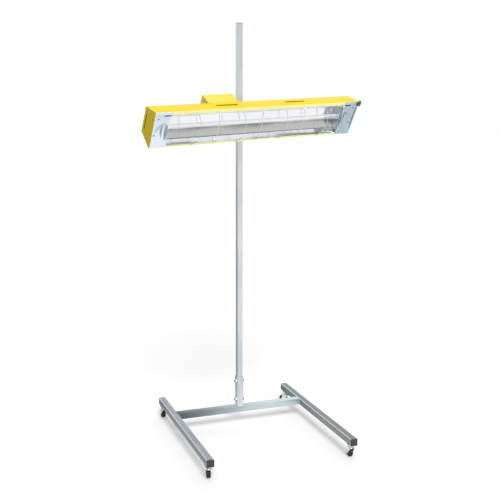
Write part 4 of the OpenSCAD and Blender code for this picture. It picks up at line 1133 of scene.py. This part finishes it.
glass_sleeve = finish_of("glass_fibre_sleeve", ((0.55, 0.50, 0.42), (0.66, 0.62, 0.54)), (0.6, 0.8),
                         cloud=300, grain=1800, relief=0.5)
lead_hole_x, lead_hole_z, lead_y, lead_z, lead_radius = -0.142, 0.010, 0.072, 0.032, 0.0016
cap_end, inside_box = cap_start + cap_length, head_depth + 0.012
leads = []
for side in (-1, 1):
    in_hole = lead_hole_x + side * 0.005
    route = ((side * (cap_end - 0.001), lamp_y, 0), (side * (cap_end + 0.005), lamp_y, 0),
             (side * (head_half - 0.017), lamp_y + 0.004, 0.003),
             (side * (head_half - 0.014), lead_y - 0.014, lead_z - 0.008),
             (side * (head_half - 0.022), lead_y, lead_z), (side * (head_half - 0.100), lead_y, lead_z),
             (lead_hole_x + side * 0.060, lead_y, lead_z), (lead_hole_x + side * 0.016, lead_y, lead_z),
             (in_hole, lead_y + 0.005, lead_hole_z + 0.001), (in_hole, inside_box, lead_hole_z - 0.004),
             (in_hole, inside_box, -0.008))
    leads.append(rod_along("lead", eased([Vector(point) for point in route]), lead_radius, 1))
stands_for(put(join("lamp_lead_sleeves", leads), head_place), glass_sleeve, "lamp_leads")

# The terminal box behind the head is folded from the same sheet, coated a paler yellow as a painted sheen.
# Its cover is folded over the box with a seam along both ends, and four screws hold its flanges.
box_sheen_coat = powder_coat("box_coat_painted_sheen", ((0.93, 0.745, 0.045), (0.965, 0.785, 0.085)), (0.26, 0.40))
box_pieces = [rounded(copy_of("terminal_box", "terminal_box_sheet"), 0.0010, 3)]
box_rear, seam_width = head_depth + 0.061, 0.010
for left in (box_left, box_right - seam_width):
    seam = block("seam", (left, head_depth + 0.0016, box_high - 0.0002),
                 (left + seam_width, box_rear, box_high + 0.0008))
    box_pieces.append(put(rounded(seam, 0.0004), head_place))
stands_for(join("terminal_box_sheet", box_pieces), box_sheen_coat, "terminal_box")
softened("terminal_block", "ceramic_terminal_block", ceramic, 0.0010, 3)

# The mains lead would enter by a black nylon gland under the box, with a lock nut inside. A black rocker
# switch is clipped into the box's rear face.
gland_place = head_place @ shift(-0.108, head_depth + 0.026, box_low) @ turn_by(180, "X")
bore = 0.004
gland_thread = cut(threaded("gland_thread", 0.008, 0.0015, -0.008, 0.001),
                   rod("gland_bore", bore, -0.012, 0.01, 32))
gland_dome = turned("gland_dome", [(bore, 0.005), (0.0095, 0.005), (0.0095, 0.0150), (0.0088, 0.0182),
                                   (0.0070, 0.0196), (0.0052, 0.0200), (0.0045, 0.0198), (0.0042, 0.0185),
                                   (bore, 0.012), (bore, 0.005)], 48)
rib = rounded(block("rib", (0.0088, -0.0007, 0.0072), (0.0101, 0.0007, 0.0152)), 0.0004)
ribs = copies_of(rib, [turn_by(30 * count, "Z") for count in range(12)])
gland = join("gland_body", [hexagon("gland_hex", 0.022, 0.006, bore), gland_thread, gland_dome, *ribs])
stands_for(put(smooth(gland, 34), gland_place), black_nylon, "cable_gland")
softened("gland_nut", "gland_lock_nut", black_nylon, 0.0006)
for node, name in (("switch_body", "switch_frame"), ("switch_rocker", "switch_key")):
    softened(node, name, phenolic, 0.0006, 3)
